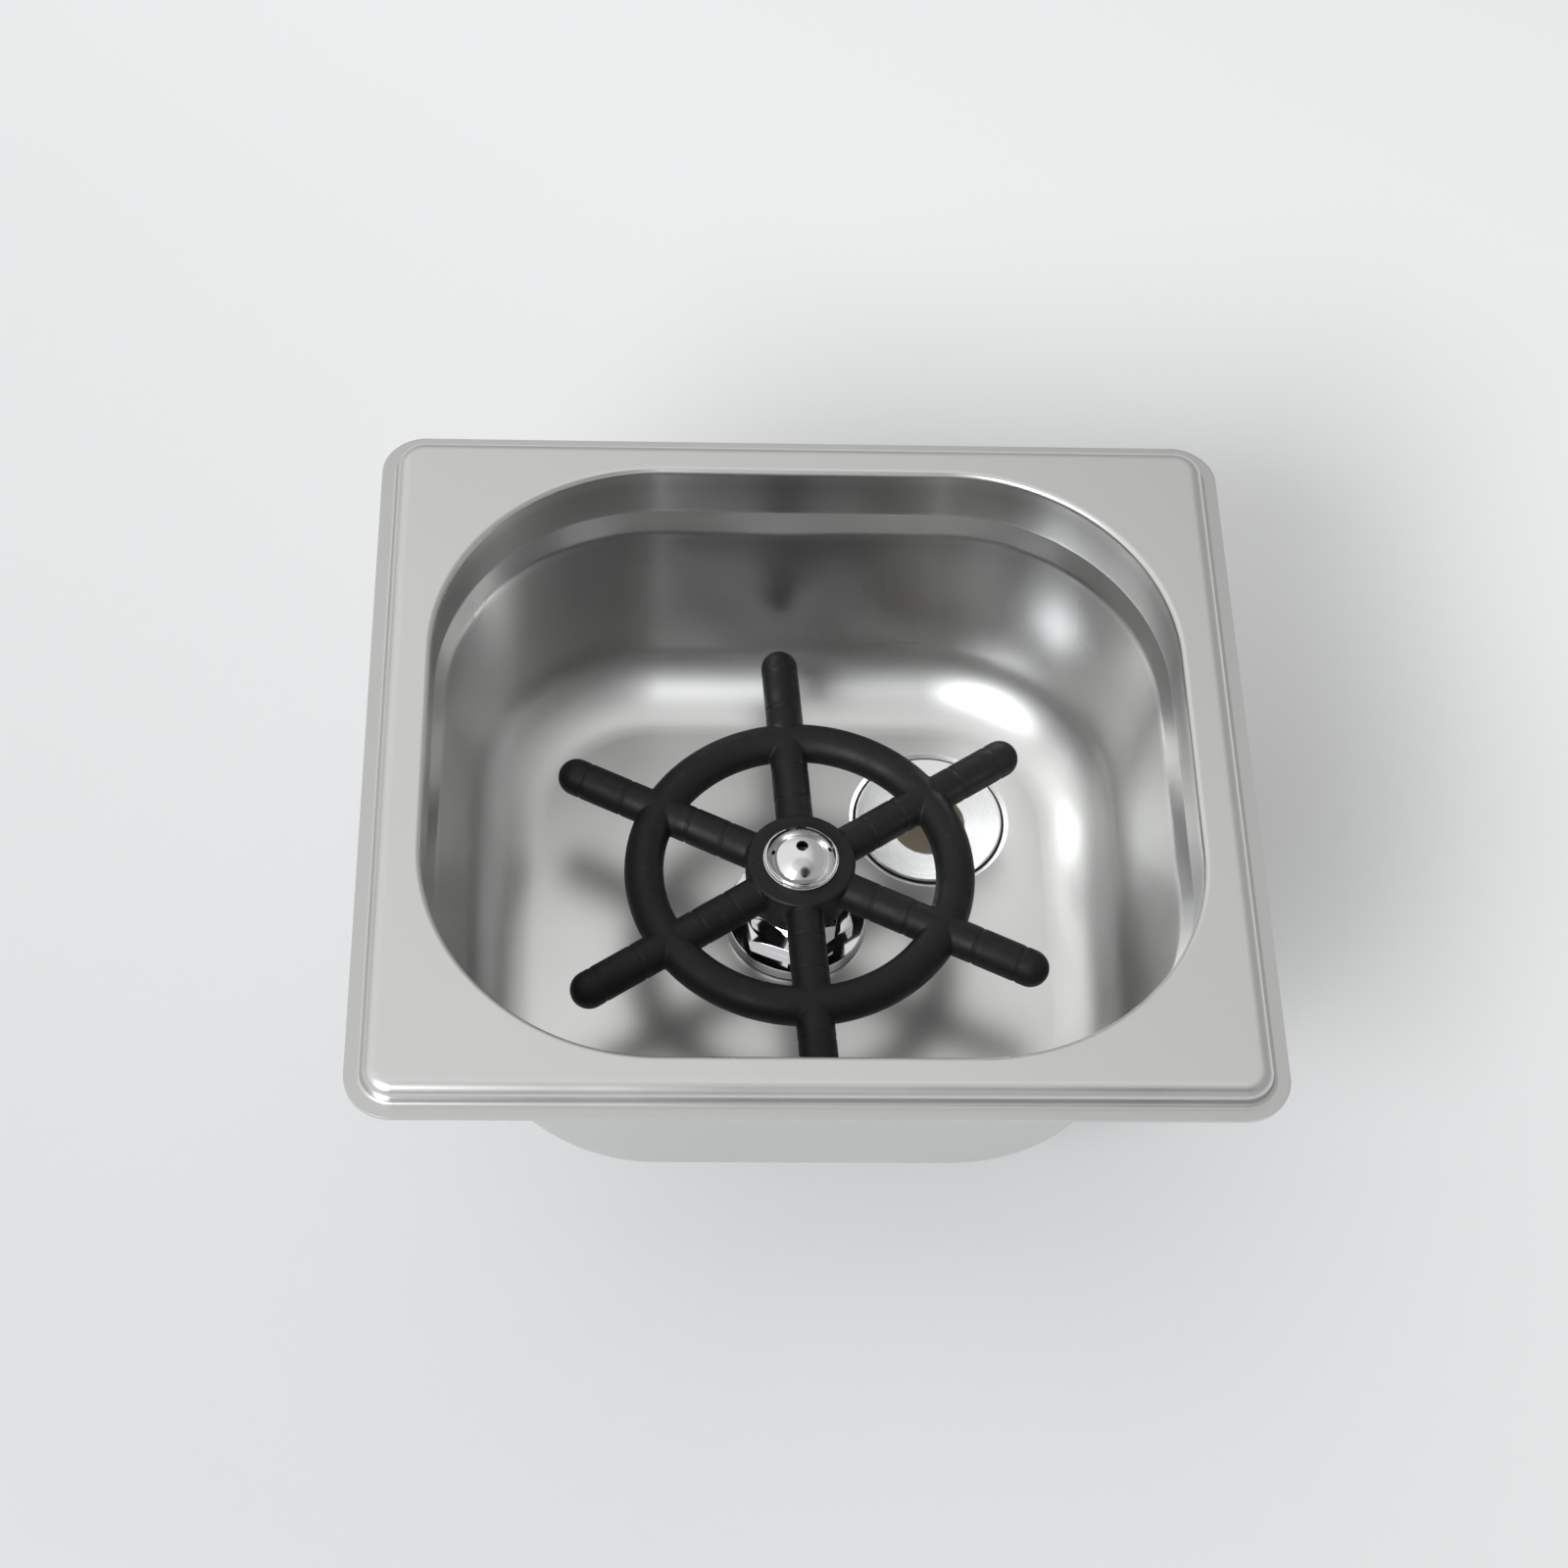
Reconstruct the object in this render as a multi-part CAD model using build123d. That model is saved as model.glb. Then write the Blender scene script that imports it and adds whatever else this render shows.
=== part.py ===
from build123d import *
from build123d import SkipClean
import math
import os

# Bar sink: a stainless pan that drops into a worktop, with a glass rinser and a drain in its floor.
# Lengths are in millimetres. X runs along the rim, Y runs to the back and Z runs up.
# The origin is the middle of the rim, at the height of the worktop that the lip rests on.

# Pan: sheet, lip, raised rim and opening
sheet = 0.8
lip_length = 176.0
lip_width = 162.0
lip_corner = 9.2
lip_band = 3.3
lip_foot_bend = 0.9
rim_height = 4.8
rim_corner = 6.0
rim_bend = 2.8
side_shelf = 9.1
end_shelf = 8.05
opening_corner = 46.0
opening_bend = 1.2

# Pan: bowl
pan_depth = 65.0
collar_depth = 13.3
shoulder_depth = 5.0
shoulder_step = 1.8
shoulder_bend = 8.0
wall_angle = 8.0
floor_bend = 15.0

# Clearances shared by the pieces
overrun = 1.0
running_clearance = 0.05
thread_clearance = 0.05
hole_clearance = 0.35
flange_clearance = 0.3
fastener_clearance = 0.3
edge_tolerance = 0.02

# Half inch pipe thread, on the inlet shank and on the drain tail
thread_radius = 10.48
thread_bore = 8.0
thread_chamfer = 1.0

# Rinser: pieces on the floor of the pan
base_gasket_radius = 15.1
base_gasket_thickness = 0.3

# Rinser: valve body
body_foot_radius = 15.25
body_flange_radius = 14.8
body_flange_thickness = 2.1
body_flange_round = 0.3
body_hex_width = 22.0
body_hex_height = 2.6
body_hex_chamfer = 0.6
body_hex_turn = 40.0
shank_length = 35.9
seat_depth = 10.8
seat_thickness = 2.0
seat_bore = 5.0
chamber_radius = 7.0

# Rinser: guide nut and its seals
bonnet_width = 18.0
bonnet_thickness = 4.2
bonnet_chamfer = 1.2
bonnet_turn = 20.0
bonnet_plug_radius = 7.6
bonnet_plug_length = 3.9
bonnet_seal_width = 1.2
bonnet_seal_thickness = 0.8
seal_section = 0.8
seal_groove_radius = 5.75
seal_groove_height = 1.8
seal_land = 1.0
seal_arc_count = 3

# Rinser: stem
press_travel = 3.4
stem_radius = 4.0
stem_bore = 2.0
stem_port_radius = 0.9
stem_port_count = 4
stem_shoulder_radius = 6.0
stem_shoulder_thickness = 1.6
stem_foot_radius = 5.9
stem_foot_thickness = 1.4
stem_pilot_radius = 2.4
stem_pilot_length = 4.0
stem_top_depth = 1.9
poppet_seal_radius = 6.5
poppet_seal_thickness = 1.6

# Rinser: spring, its seat and its retainer
spring_seat_radius = 6.8
spring_seat_thickness = 1.5
spring_outer_radius = 6.0
spring_wire = 1.2
spring_length = 14.0
retainer_thickness = 3.0
retainer_bore = 3.4
retainer_port_radius = 1.1
retainer_port_count = 6
screen_thickness = 0.6
screen_hole_radius = 0.6
screen_ring_count = 6
screen_row_count = 2

# Rinser: wheel
hub_radius = 11.45
hub_foot_radius = 11.0
hub_height = 10.6
hub_stop_gap = 0.3
hub_edge = 0.5
hub_bore_clearance = 0.15
hub_pocket_depth = 3.0
wheel_washer_thickness = 0.8
ring_radius = 32.6
ring_section = 4.1
wheel_plane_drop = 4.4
spoke_count = 6
spoke_turn = 33.6
spoke_radius = 3.95
spoke_wall_gap = 7.67
spoke_groove_depth = 0.3
spoke_groove_width = 0.9
inner_groove_shares = (0.277, 0.655)
outer_groove_shares = (0.338, 0.743)
spoke_root_share = 0.78
spoke_seam_turn = 20.0

# Rinser: nozzle
collar_flange_radius = 7.9
collar_flange_thickness = 0.7
collar_radius = 6.6
collar_length = 4.4
collar_floor = 1.2
collar_socket_radius = 5.7
brim_radius = 7.7
brim_thickness = 0.5
dome_radius = 7.15
dome_wall_height = 0.8
dome_height = 4.2
dome_shell = 0.8
dome_skirt_length = 1.6
centre_jet_radius = 1.25
side_jet_radius = 0.5
side_jet_circle = 5.9
side_jet_count = 4
side_jet_turn = 4.0
nozzle_seal_section = 0.6

# Rinser: fasteners under the pan
under_gasket_radius = 15.0
under_gasket_thickness = 2.0
under_washer_radius = 15.6
under_washer_thickness = 1.2
nut_width = 27.0
nut_height = 8.0
nut_chamfer = 1.0

# Drain: gaps between its recess and the edges of the flat floor, recess and flange
drain_side_gap = 6.9
drain_back_gap = 4.65
recess_radius = 16.4
recess_depth = 2.6
recess_bend = 1.1
drain_gasket_thickness = 0.7
drain_gasket_clearance = 0.05
drain_flange_radius = 16.05
drain_flange_round = 0.3
drain_fall = 1.7
drain_edge = 0.4
drain_tail_length = 30.0

# Heights of the pan
rim_top = rim_height
ledge_z = rim_top - collar_depth
shoulder_z = ledge_z - shoulder_depth
floor_z = rim_top - pan_depth
floor_underside = floor_z - sheet
recess_z = floor_z - recess_depth
recess_underside = floor_underside - recess_depth

# Heights of the rinser, from the floor up
base_gasket_top = floor_z + base_gasket_thickness
body_flange_top = base_gasket_top + body_flange_thickness
body_top = body_flange_top + body_hex_height
bonnet_top = body_top + bonnet_thickness
bonnet_foot = body_top - bonnet_plug_length
shank_end = base_gasket_top - shank_length

# Heights of the valve, from the seat down
seat_top = body_top - seat_depth
seat_z = seat_top - seat_thickness
poppet_seal_z = seat_z - poppet_seal_thickness
stem_foot_z = poppet_seal_z - stem_foot_thickness
spring_seat_z = stem_foot_z - spring_seat_thickness
spring_foot_z = spring_seat_z - spring_length
retainer_z = spring_foot_z - retainer_thickness
screen_z = retainer_z - screen_thickness

# Heights of the wheel and the nozzle
hub_foot = bonnet_top + press_travel + hub_stop_gap
hub_top = hub_foot + hub_height
hub_pocket_top = hub_foot + hub_pocket_depth
stem_shoulder_top = hub_pocket_top - wheel_washer_thickness
stem_shoulder_z = stem_shoulder_top - stem_shoulder_thickness
wheel_plane = hub_top - wheel_plane_drop
collar_top = hub_top + collar_flange_thickness
collar_foot = collar_top - collar_length
stem_top = collar_top - stem_top_depth
brim_top = collar_top + brim_thickness
dome_top = brim_top + dome_height

# Heights under the pan
under_gasket_z = floor_underside - under_gasket_thickness
under_washer_z = under_gasket_z - under_washer_thickness
locknut_z = under_washer_z - nut_height
drain_gasket_top = recess_z + drain_gasket_thickness
drain_end = drain_gasket_top - drain_tail_length
drain_under_gasket_z = recess_underside - under_gasket_thickness
drain_washer_z = drain_under_gasket_z - under_washer_thickness
drain_nut_z = drain_washer_z - nut_height

# Plan of the pan, from the lip in to the flat of the floor
rim_length = lip_length - 2 * lip_band
rim_width = lip_width - 2 * lip_band
opening_length = rim_length - 2 * side_shelf
opening_width = rim_width - 2 * end_shelf
wall_slope = math.tan(math.radians(wall_angle))
bend_run = floor_bend * math.tan(math.radians((90 - wall_angle) / 2))
floor_inset = shoulder_step + (shoulder_z - floor_z) * wall_slope + bend_run
drain_reach = recess_radius + recess_bend
drain_y = opening_width / 2 - floor_inset - drain_back_gap - drain_reach
drain_side = opening_length / 2 - floor_inset - drain_side_gap - drain_reach

# Nearest that the drain comes to the rinser: its recess clears the rinser's washer under the pan
drain_distance = recess_radius + sheet + under_washer_radius + fastener_clearance
drain_x = max(drain_side, math.sqrt(max(0, drain_distance**2 - drain_y**2)))

# Reach of the spokes, from the wall beside the wheel
wheel_inset = shoulder_step + (shoulder_z - wheel_plane) * wall_slope
spoke_reach = min(opening_length, opening_width) / 2 - wheel_inset - spoke_wall_gap

# Radii that follow from the above
pan_hole_radius = thread_radius + hole_clearance
washer_bore = thread_radius + hole_clearance
nut_bore = thread_radius + thread_clearance
stem_guide_radius = stem_radius + running_clearance
seal_circle = stem_guide_radius + running_clearance + seal_section
spring_inner_radius = spring_outer_radius - spring_wire
collar_bore = stem_radius + thread_clearance


def disc(radius, low, high):
    """A plain disc about the Z axis between two heights."""
    return Pos(0, 0, low) * Cylinder(radius, high - low, align=(Align.CENTER, Align.CENTER, Align.MIN))


def ring(inner_radius, outer_radius, low, high):
    """A flat ring about the Z axis between two heights."""
    return disc(outer_radius, low, high) - disc(inner_radius, low - overrun, high + overrun)


def turned(points):
    """A solid turned about the Z axis from an outline of (radius, height) points."""
    outline = Polyline(*[(radius, 0, height) for radius, height in points], close=True)
    return revolve(make_face(outline), Axis.Z)


def ring_arc(circle_radius, section_radius, angle):
    """A stretch of a round-section ring about the Z axis, centred on the X axis."""
    section = Plane.XZ * (Pos(circle_radius, 0, 0) * Circle(section_radius))
    return Rot(0, 0, -angle / 2) * revolve(section, Axis.Z, revolution_arc=angle)


def round_ring(circle_radius, section_radius, height):
    """A round-section sealing ring about the Z axis, kept as equal arcs."""
    arc = Pos(0, 0, height) * ring_arc(circle_radius, section_radius, 360 / seal_arc_count)
    body = arc
    with SkipClean():
        for index in range(1, seal_arc_count):
            body = body + Rot(0, 0, 360 * index / seal_arc_count) * arc
    return body


def drilled(body, circle_radius, hole_radius, count, low, high):
    """A body with a circle of upright holes drilled through it between two heights."""
    hole = Pos(circle_radius, 0, 0) * disc(hole_radius, low - overrun, high + overrun)
    for index in range(count):
        body = body - Rot(0, 0, 360 * index / count) * hole
    return body


def at_drain(shape):
    """A piece of the drain, moved from the Z axis to the drain's place in the floor."""
    return Pos(drain_x, drain_y, 0) * shape


def rounded_block(length, width, corner, high, low, angle=0):
    """A block with rounded corners that runs down from one height, drawn in by an angle."""
    sketch = Pos(0, 0, high) * RectangleRounded(length, width, corner)
    return extrude(sketch, amount=high - low, dir=(0, 0, -1), taper=angle)


def hex_nut(width, bore, low, high, foot_chamfer, top_chamfer, turn=0):
    """A hexagon nut with its outer corners turned off at its ends."""
    flat_radius = width / 2
    corner_radius = flat_radius / math.cos(math.pi / 6)
    hexagon = RegularPolygon(corner_radius, 6, rotation=turn)
    block = extrude(Pos(0, 0, low) * hexagon, amount=high - low)
    crown = turned(
        [
            (0, low),
            (flat_radius, low),
            (corner_radius, low + foot_chamfer),
            (corner_radius, high - top_chamfer),
            (flat_radius, high),
            (0, high),
        ]
    )
    return (block & crown) - disc(bore, low - overrun, high + overrun)


# Pan
def bowl(inset, high, low):
    """The bowl's form, drawn in by an inset from its outer skin and filled to a height."""
    length = opening_length + 2 * (sheet - inset)
    width = opening_width + 2 * (sheet - inset)
    corner = opening_corner + sheet - inset
    shoulder_angle = math.degrees(math.atan2(shoulder_step, shoulder_depth))
    collar = rounded_block(length, width, corner, high, ledge_z)
    shoulder = rounded_block(length, width, corner, ledge_z, shoulder_z, shoulder_angle)
    drawn_in = 2 * shoulder_step
    wall = rounded_block(
        length - drawn_in, width - drawn_in, corner - shoulder_step, shoulder_z, low, wall_angle
    )
    body = collar + shoulder + wall
    body = fillet(body.faces().sort_by(Axis.Z)[0].edges(), floor_bend + sheet - inset)
    bend_edges = body.edges().filter_by_position(Axis.Z, shoulder_z, shoulder_z)
    return fillet(bend_edges, shoulder_bend + inset)


def make_basin():
    """The pressed pan: flat lip, raised rim, bowl, and a recess and holes in its floor."""
    lip = rounded_block(lip_length, lip_width, lip_corner, sheet, 0)
    rim = rounded_block(rim_length, rim_width, rim_corner, rim_top, 0)
    rim = fillet(rim.faces().sort_by(Axis.Z)[-1].edges(), rim_bend)
    hollow = rounded_block(
        rim_length - 2 * sheet, rim_width - 2 * sheet, rim_corner - sheet, rim_top - sheet, -overrun
    )
    hollow = fillet(hollow.faces().sort_by(Axis.Z)[-1].edges(), rim_bend - sheet)
    flange = lip + rim
    lip_face = flange.faces().filter_by(Plane.XY).sort_by(Axis.Z)[1]
    flange = fillet(lip_face.inner_wires().edges(), lip_foot_bend)
    recess_boss = at_drain(disc(recess_radius + sheet, recess_underside, floor_z))
    recess = at_drain(disc(recess_radius, recess_z, floor_z + overrun))
    shell = (flange - hollow) + bowl(0, rim_top, floor_underside) + recess_boss
    shell = shell - bowl(sheet, rim_top + overrun, floor_z) - recess
    shell = shell - disc(pan_hole_radius, floor_underside - overrun, floor_z + overrun)
    shell = shell - at_drain(disc(pan_hole_radius, recess_underside - overrun, floor_z + overrun))
    rim_face = shell.faces().filter_by(Plane.XY).sort_by(Axis.Z)[-1]
    shell = fillet(rim_face.inner_wires().edges(), opening_bend)
    recess_edges = [
        edge
        for edge in shell.edges().filter_by(GeomType.CIRCLE)
        if abs(edge.radius - recess_radius) < edge_tolerance
        and abs(edge.center().Z - floor_z) < edge_tolerance
    ]
    return fillet(recess_edges, recess_bend)


# Rinser, fixed pieces
def make_base_gasket():
    """The thin rubber ring between the floor of the pan and the valve body."""
    return ring(washer_bore, base_gasket_radius, floor_z, base_gasket_top)


def make_valve_body():
    """The turned valve body: flange, hexagon, threaded shank, and the valve seat inside."""
    flange = turned(
        [
            (0, base_gasket_top),
            (body_foot_radius, base_gasket_top),
            (body_flange_radius, body_flange_top),
            (0, body_flange_top),
        ]
    )
    flange = fillet(flange.faces().sort_by(Axis.Z)[-1].edges(), body_flange_round)
    hexagon = hex_nut(
        body_hex_width, seat_bore, body_flange_top, body_top, 0, body_hex_chamfer, body_hex_turn
    )
    shank = disc(thread_radius, shank_end, base_gasket_top)
    shank = chamfer(shank.faces().sort_by(Axis.Z)[0].edges(), thread_chamfer)
    inside = disc(thread_bore, shank_end - overrun, seat_z)
    inside += disc(seat_bore, seat_z - overrun, seat_top + overrun)
    inside += disc(chamber_radius, seat_top, bonnet_foot + overrun)
    inside += disc(bonnet_plug_radius + thread_clearance, bonnet_foot, body_top + overrun)
    seal_outer = bonnet_plug_radius + bonnet_seal_width
    inside += disc(seal_outer + thread_clearance, body_top - bonnet_seal_thickness, body_top + overrun)
    return flange + hexagon + shank - inside


def seal_heights():
    """The heights of the two sealing rings in the guide nut."""
    low = bonnet_foot + seal_land + seal_groove_height / 2
    high = bonnet_top - seal_land - seal_groove_height / 2
    return low, high


def make_bonnet_nut():
    """The guide nut: a hexagon head, a threaded plug and a bore with two seal grooves."""
    head = hex_nut(bonnet_width, stem_guide_radius, body_top, bonnet_top, 0, bonnet_chamfer, bonnet_turn)
    nut = head + disc(bonnet_plug_radius, bonnet_foot, body_top)
    nut = nut - disc(stem_guide_radius, bonnet_foot - overrun, bonnet_top + overrun)
    for height in seal_heights():
        half = seal_groove_height / 2
        nut = nut - disc(seal_groove_radius, height - half, height + half)
    return nut


def make_bonnet_seal():
    """The flat ring that seals the guide nut's head on the valve body."""
    inner = bonnet_plug_radius + thread_clearance
    outer = inner + bonnet_seal_width - thread_clearance
    return ring(inner, outer, body_top - bonnet_seal_thickness, body_top)


def make_stem_seals():
    """The two round rings that seal the stem in the guide nut."""
    low, high = [round_ring(seal_circle, seal_section, height) for height in seal_heights()]
    with SkipClean():
        return low + high


def make_spring_retainer():
    """The threaded ring that holds the spring up, with ports for the water."""
    body = ring(retainer_bore, thread_bore - thread_clearance, retainer_z, spring_foot_z)
    port_circle = (retainer_bore + thread_bore) / 2
    return drilled(body, port_circle, retainer_port_radius, retainer_port_count, retainer_z, spring_foot_z)


def make_inlet_screen():
    """The perforated disc under the retainer that keeps grit out of the valve."""
    screen = ring(screen_hole_radius, thread_bore - thread_clearance, screen_z, retainer_z)
    pitch = thread_bore / (screen_row_count + 1)
    for row in range(1, screen_row_count + 1):
        screen = drilled(
            screen, pitch * row, screen_hole_radius, screen_ring_count * row, screen_z, retainer_z
        )
    return screen


# Rinser, fasteners under the pan
def make_shank_gasket():
    """The rubber ring under the pan, round the inlet shank."""
    return ring(washer_bore, under_gasket_radius, under_gasket_z, floor_underside)


def make_shank_washer():
    """The steel washer between the shank's gasket and its nut."""
    return ring(washer_bore, under_washer_radius, under_washer_z, under_gasket_z)


def make_shank_locknut():
    """The nut that clamps the valve body to the pan."""
    return hex_nut(nut_width, nut_bore, locknut_z, under_washer_z, nut_chamfer, nut_chamfer)


# Rinser, moving pieces
def make_valve_stem():
    """The hollow stem: ports above the valve, a shoulder for the wheel and a foot for the seal."""
    stem = disc(stem_radius, poppet_seal_z, stem_top)
    stem += disc(stem_shoulder_radius, stem_shoulder_z, stem_shoulder_top)
    stem += disc(stem_foot_radius, stem_foot_z, poppet_seal_z)
    stem += disc(stem_pilot_radius, stem_foot_z - stem_pilot_length, stem_foot_z)
    port_height = seat_top + (bonnet_foot - seat_top) / 2
    stem = stem - disc(stem_bore, port_height - 2 * stem_port_radius, stem_top + overrun)
    for index in range(stem_port_count // 2):
        port = Cylinder(stem_port_radius, 2 * (stem_radius + overrun), rotation=(90, 0, 0))
        turn = 180 * index / (stem_port_count // 2)
        stem = stem - Pos(0, 0, port_height) * Rot(0, 0, turn) * port
    return stem


def make_poppet_seal():
    """The rubber ring on the stem's foot that closes the valve seat from below."""
    return ring(stem_radius, poppet_seal_radius, poppet_seal_z, seat_z)


def make_spring_seat():
    """The disc between the spring and the stem's foot: it slides with the stem but doesn't turn."""
    return ring(stem_pilot_radius + running_clearance, spring_seat_radius, spring_seat_z, stem_foot_z)


def make_return_spring():
    """The space of the coiled return spring, as a sleeve."""
    return ring(spring_inner_radius, spring_outer_radius, spring_foot_z, spring_seat_z)


def make_wheel_washer():
    """The washer between the stem's shoulder and the wheel's hub."""
    return ring(stem_radius + hub_bore_clearance, stem_shoulder_radius, stem_shoulder_top, hub_pocket_top)


def spoke():
    """One spoke along +X: a round bar with shallow grooves and a ball end."""
    start = hub_radius * spoke_root_share
    points = [(start, 0), (start, spoke_radius)]
    inner_span = ring_radius - hub_radius
    outer_span = spoke_reach - ring_radius
    places = [hub_radius + inner_span * share for share in inner_groove_shares]
    places += [ring_radius + outer_span * share for share in outer_groove_shares]
    for place in places:
        points += [
            (place - spoke_groove_width / 2, spoke_radius),
            (place, spoke_radius - spoke_groove_depth),
            (place + spoke_groove_width / 2, spoke_radius),
        ]
    shoulder = spoke_reach - spoke_radius
    points.append((shoulder, spoke_radius))
    side = Polyline(*points)
    tip = CenterArc((shoulder, 0), spoke_radius, 0, 90)
    bar = revolve(make_face(side + tip + Line((spoke_reach, 0), (start, 0))), Axis.X)
    return Pos(0, 0, wheel_plane) * Rot(spoke_seam_turn, 0, 0) * bar


def make_press_wheel():
    """The moulded wheel: a bored hub, six spokes and a round ring."""
    hub = turned(
        [
            (stem_radius + hub_bore_clearance, hub_pocket_top),
            (stem_shoulder_radius + flange_clearance, hub_pocket_top),
            (stem_shoulder_radius + flange_clearance, hub_foot),
            (hub_foot_radius, hub_foot),
            (hub_radius, wheel_plane),
            (hub_radius, hub_top - hub_edge),
            (hub_radius - hub_edge, hub_top),
            (collar_radius + hub_bore_clearance, hub_top),
            (collar_radius + hub_bore_clearance, collar_foot),
            (stem_radius + hub_bore_clearance, collar_foot),
        ]
    )
    arc = Pos(0, 0, wheel_plane) * ring_arc(ring_radius, ring_section, 360 / spoke_count)
    branch = arc + spoke()
    wheel = hub
    with SkipClean():
        for index in range(spoke_count):
            wheel = wheel + Rot(0, 0, spoke_turn + 360 * index / spoke_count) * branch
    return wheel


def make_nozzle_collar():
    """The chrome collar that screws onto the stem and clamps the wheel down."""
    socket_floor = collar_foot + collar_floor
    return turned(
        [
            (collar_bore, collar_foot),
            (collar_radius, collar_foot),
            (collar_radius, hub_top),
            (collar_flange_radius, hub_top),
            (collar_flange_radius, collar_top),
            (collar_socket_radius, collar_top),
            (collar_socket_radius, socket_floor),
            (collar_bore, socket_floor),
        ]
    )


def make_nozzle_seal():
    """The round ring between the stem's top and the collar's socket."""
    circle = (collar_bore + collar_socket_radius) / 2
    return round_ring(circle, nozzle_seal_section, collar_foot + collar_floor + nozzle_seal_section)


def make_nozzle_dome():
    """The domed spray head: a brim, a hollow cap, a skirt in the collar, and its jets."""
    cap_height = dome_height - dome_wall_height
    cap_radius = (dome_radius**2 + cap_height**2) / (2 * cap_height)
    cap_centre = dome_top - cap_radius
    skirt_radius = collar_socket_radius - thread_clearance
    head = disc(dome_radius, brim_top, dome_top) & (Pos(0, 0, cap_centre) * Sphere(cap_radius))
    head += disc(brim_radius, collar_top, brim_top)
    head += disc(skirt_radius, collar_top - dome_skirt_length, collar_top)
    hollow = disc(dome_radius - dome_shell, brim_top, dome_top) & (
        Pos(0, 0, cap_centre) * Sphere(cap_radius - dome_shell)
    )
    hollow += disc(skirt_radius - dome_shell, collar_top - dome_skirt_length - overrun, brim_top + overrun)
    head = head - hollow
    head = head - disc(centre_jet_radius, brim_top, dome_top + overrun)
    lean = math.degrees(math.asin(side_jet_circle / cap_radius))
    jet = Cylinder(side_jet_radius, 2 * (cap_radius + overrun))
    for index in range(side_jet_count):
        turn = side_jet_turn + 360 * index / side_jet_count
        upper = Rot(0, 0, turn) * Rot(0, lean, 0) * jet
        head = head - (Pos(0, 0, cap_centre) * upper & disc(brim_radius, brim_top + overrun / 2, dome_top))
    return head


# Drain
def make_drain_body():
    """The turned drain: a dished flange over a threaded tail with an open bore."""
    body = turned(
        [
            (thread_bore, floor_z - drain_fall),
            (thread_bore + drain_edge, floor_z - drain_fall),
            (drain_flange_radius - drain_flange_round, floor_z),
            (drain_flange_radius, floor_z - drain_flange_round),
            (drain_flange_radius, drain_gasket_top),
            (thread_radius, drain_gasket_top),
            (thread_radius, drain_end + thread_chamfer),
            (thread_radius - thread_chamfer, drain_end),
            (thread_bore, drain_end),
        ]
    )
    return at_drain(body)


def make_drain_gasket():
    """The rubber ring that beds the drain's flange in its recess."""
    outer = recess_radius - drain_gasket_clearance
    return at_drain(ring(washer_bore, outer, recess_z, drain_gasket_top))


def make_drain_under_gasket():
    """The rubber ring under the recess, round the drain's tail."""
    return at_drain(ring(washer_bore, under_gasket_radius, drain_under_gasket_z, recess_underside))


def make_drain_slip_washer():
    """The slip washer between the drain's lower gasket and its nut."""
    return at_drain(ring(washer_bore, under_washer_radius, drain_washer_z, drain_under_gasket_z))


def make_drain_nut():
    """The nut that clamps the drain to the pan."""
    nut = hex_nut(nut_width, nut_bore, drain_nut_z, drain_washer_z, nut_chamfer, nut_chamfer)
    return at_drain(nut)


pieces = {
    "basin": make_basin,
    "base_gasket": make_base_gasket,
    "valve_body": make_valve_body,
    "bonnet_nut": make_bonnet_nut,
    "bonnet_seal": make_bonnet_seal,
    "stem_seals": make_stem_seals,
    "spring_retainer": make_spring_retainer,
    "inlet_screen": make_inlet_screen,
    "shank_gasket": make_shank_gasket,
    "shank_washer": make_shank_washer,
    "shank_locknut": make_shank_locknut,
    "valve_stem": make_valve_stem,
    "poppet_seal": make_poppet_seal,
    "spring_seat": make_spring_seat,
    "return_spring": make_return_spring,
    "wheel_washer": make_wheel_washer,
    "press_wheel": make_press_wheel,
    "nozzle_collar": make_nozzle_collar,
    "nozzle_seal": make_nozzle_seal,
    "nozzle_dome": make_nozzle_dome,
    "drain_body": make_drain_body,
    "drain_gasket": make_drain_gasket,
    "drain_under_gasket": make_drain_under_gasket,
    "drain_slip_washer": make_drain_slip_washer,
    "drain_nut": make_drain_nut,
}

os.makedirs("parts", exist_ok=True)
for name, make in pieces.items():
    export_step(make(), os.path.join("parts", name + ".step"))
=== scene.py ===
"""Looks of the bar sink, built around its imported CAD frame.

Sizes in the classes are in millimetres, in the part's own frame. The origin is the middle of the rim
at the height of the worktop. X runs along the rim, Y runs to the back and Z runs up.
"""

import logging
import math
from collections.abc import Callable
from dataclasses import dataclass, field
from enum import Enum
from functools import cache

import bpy
from mathutils import Matrix, Vector


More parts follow.
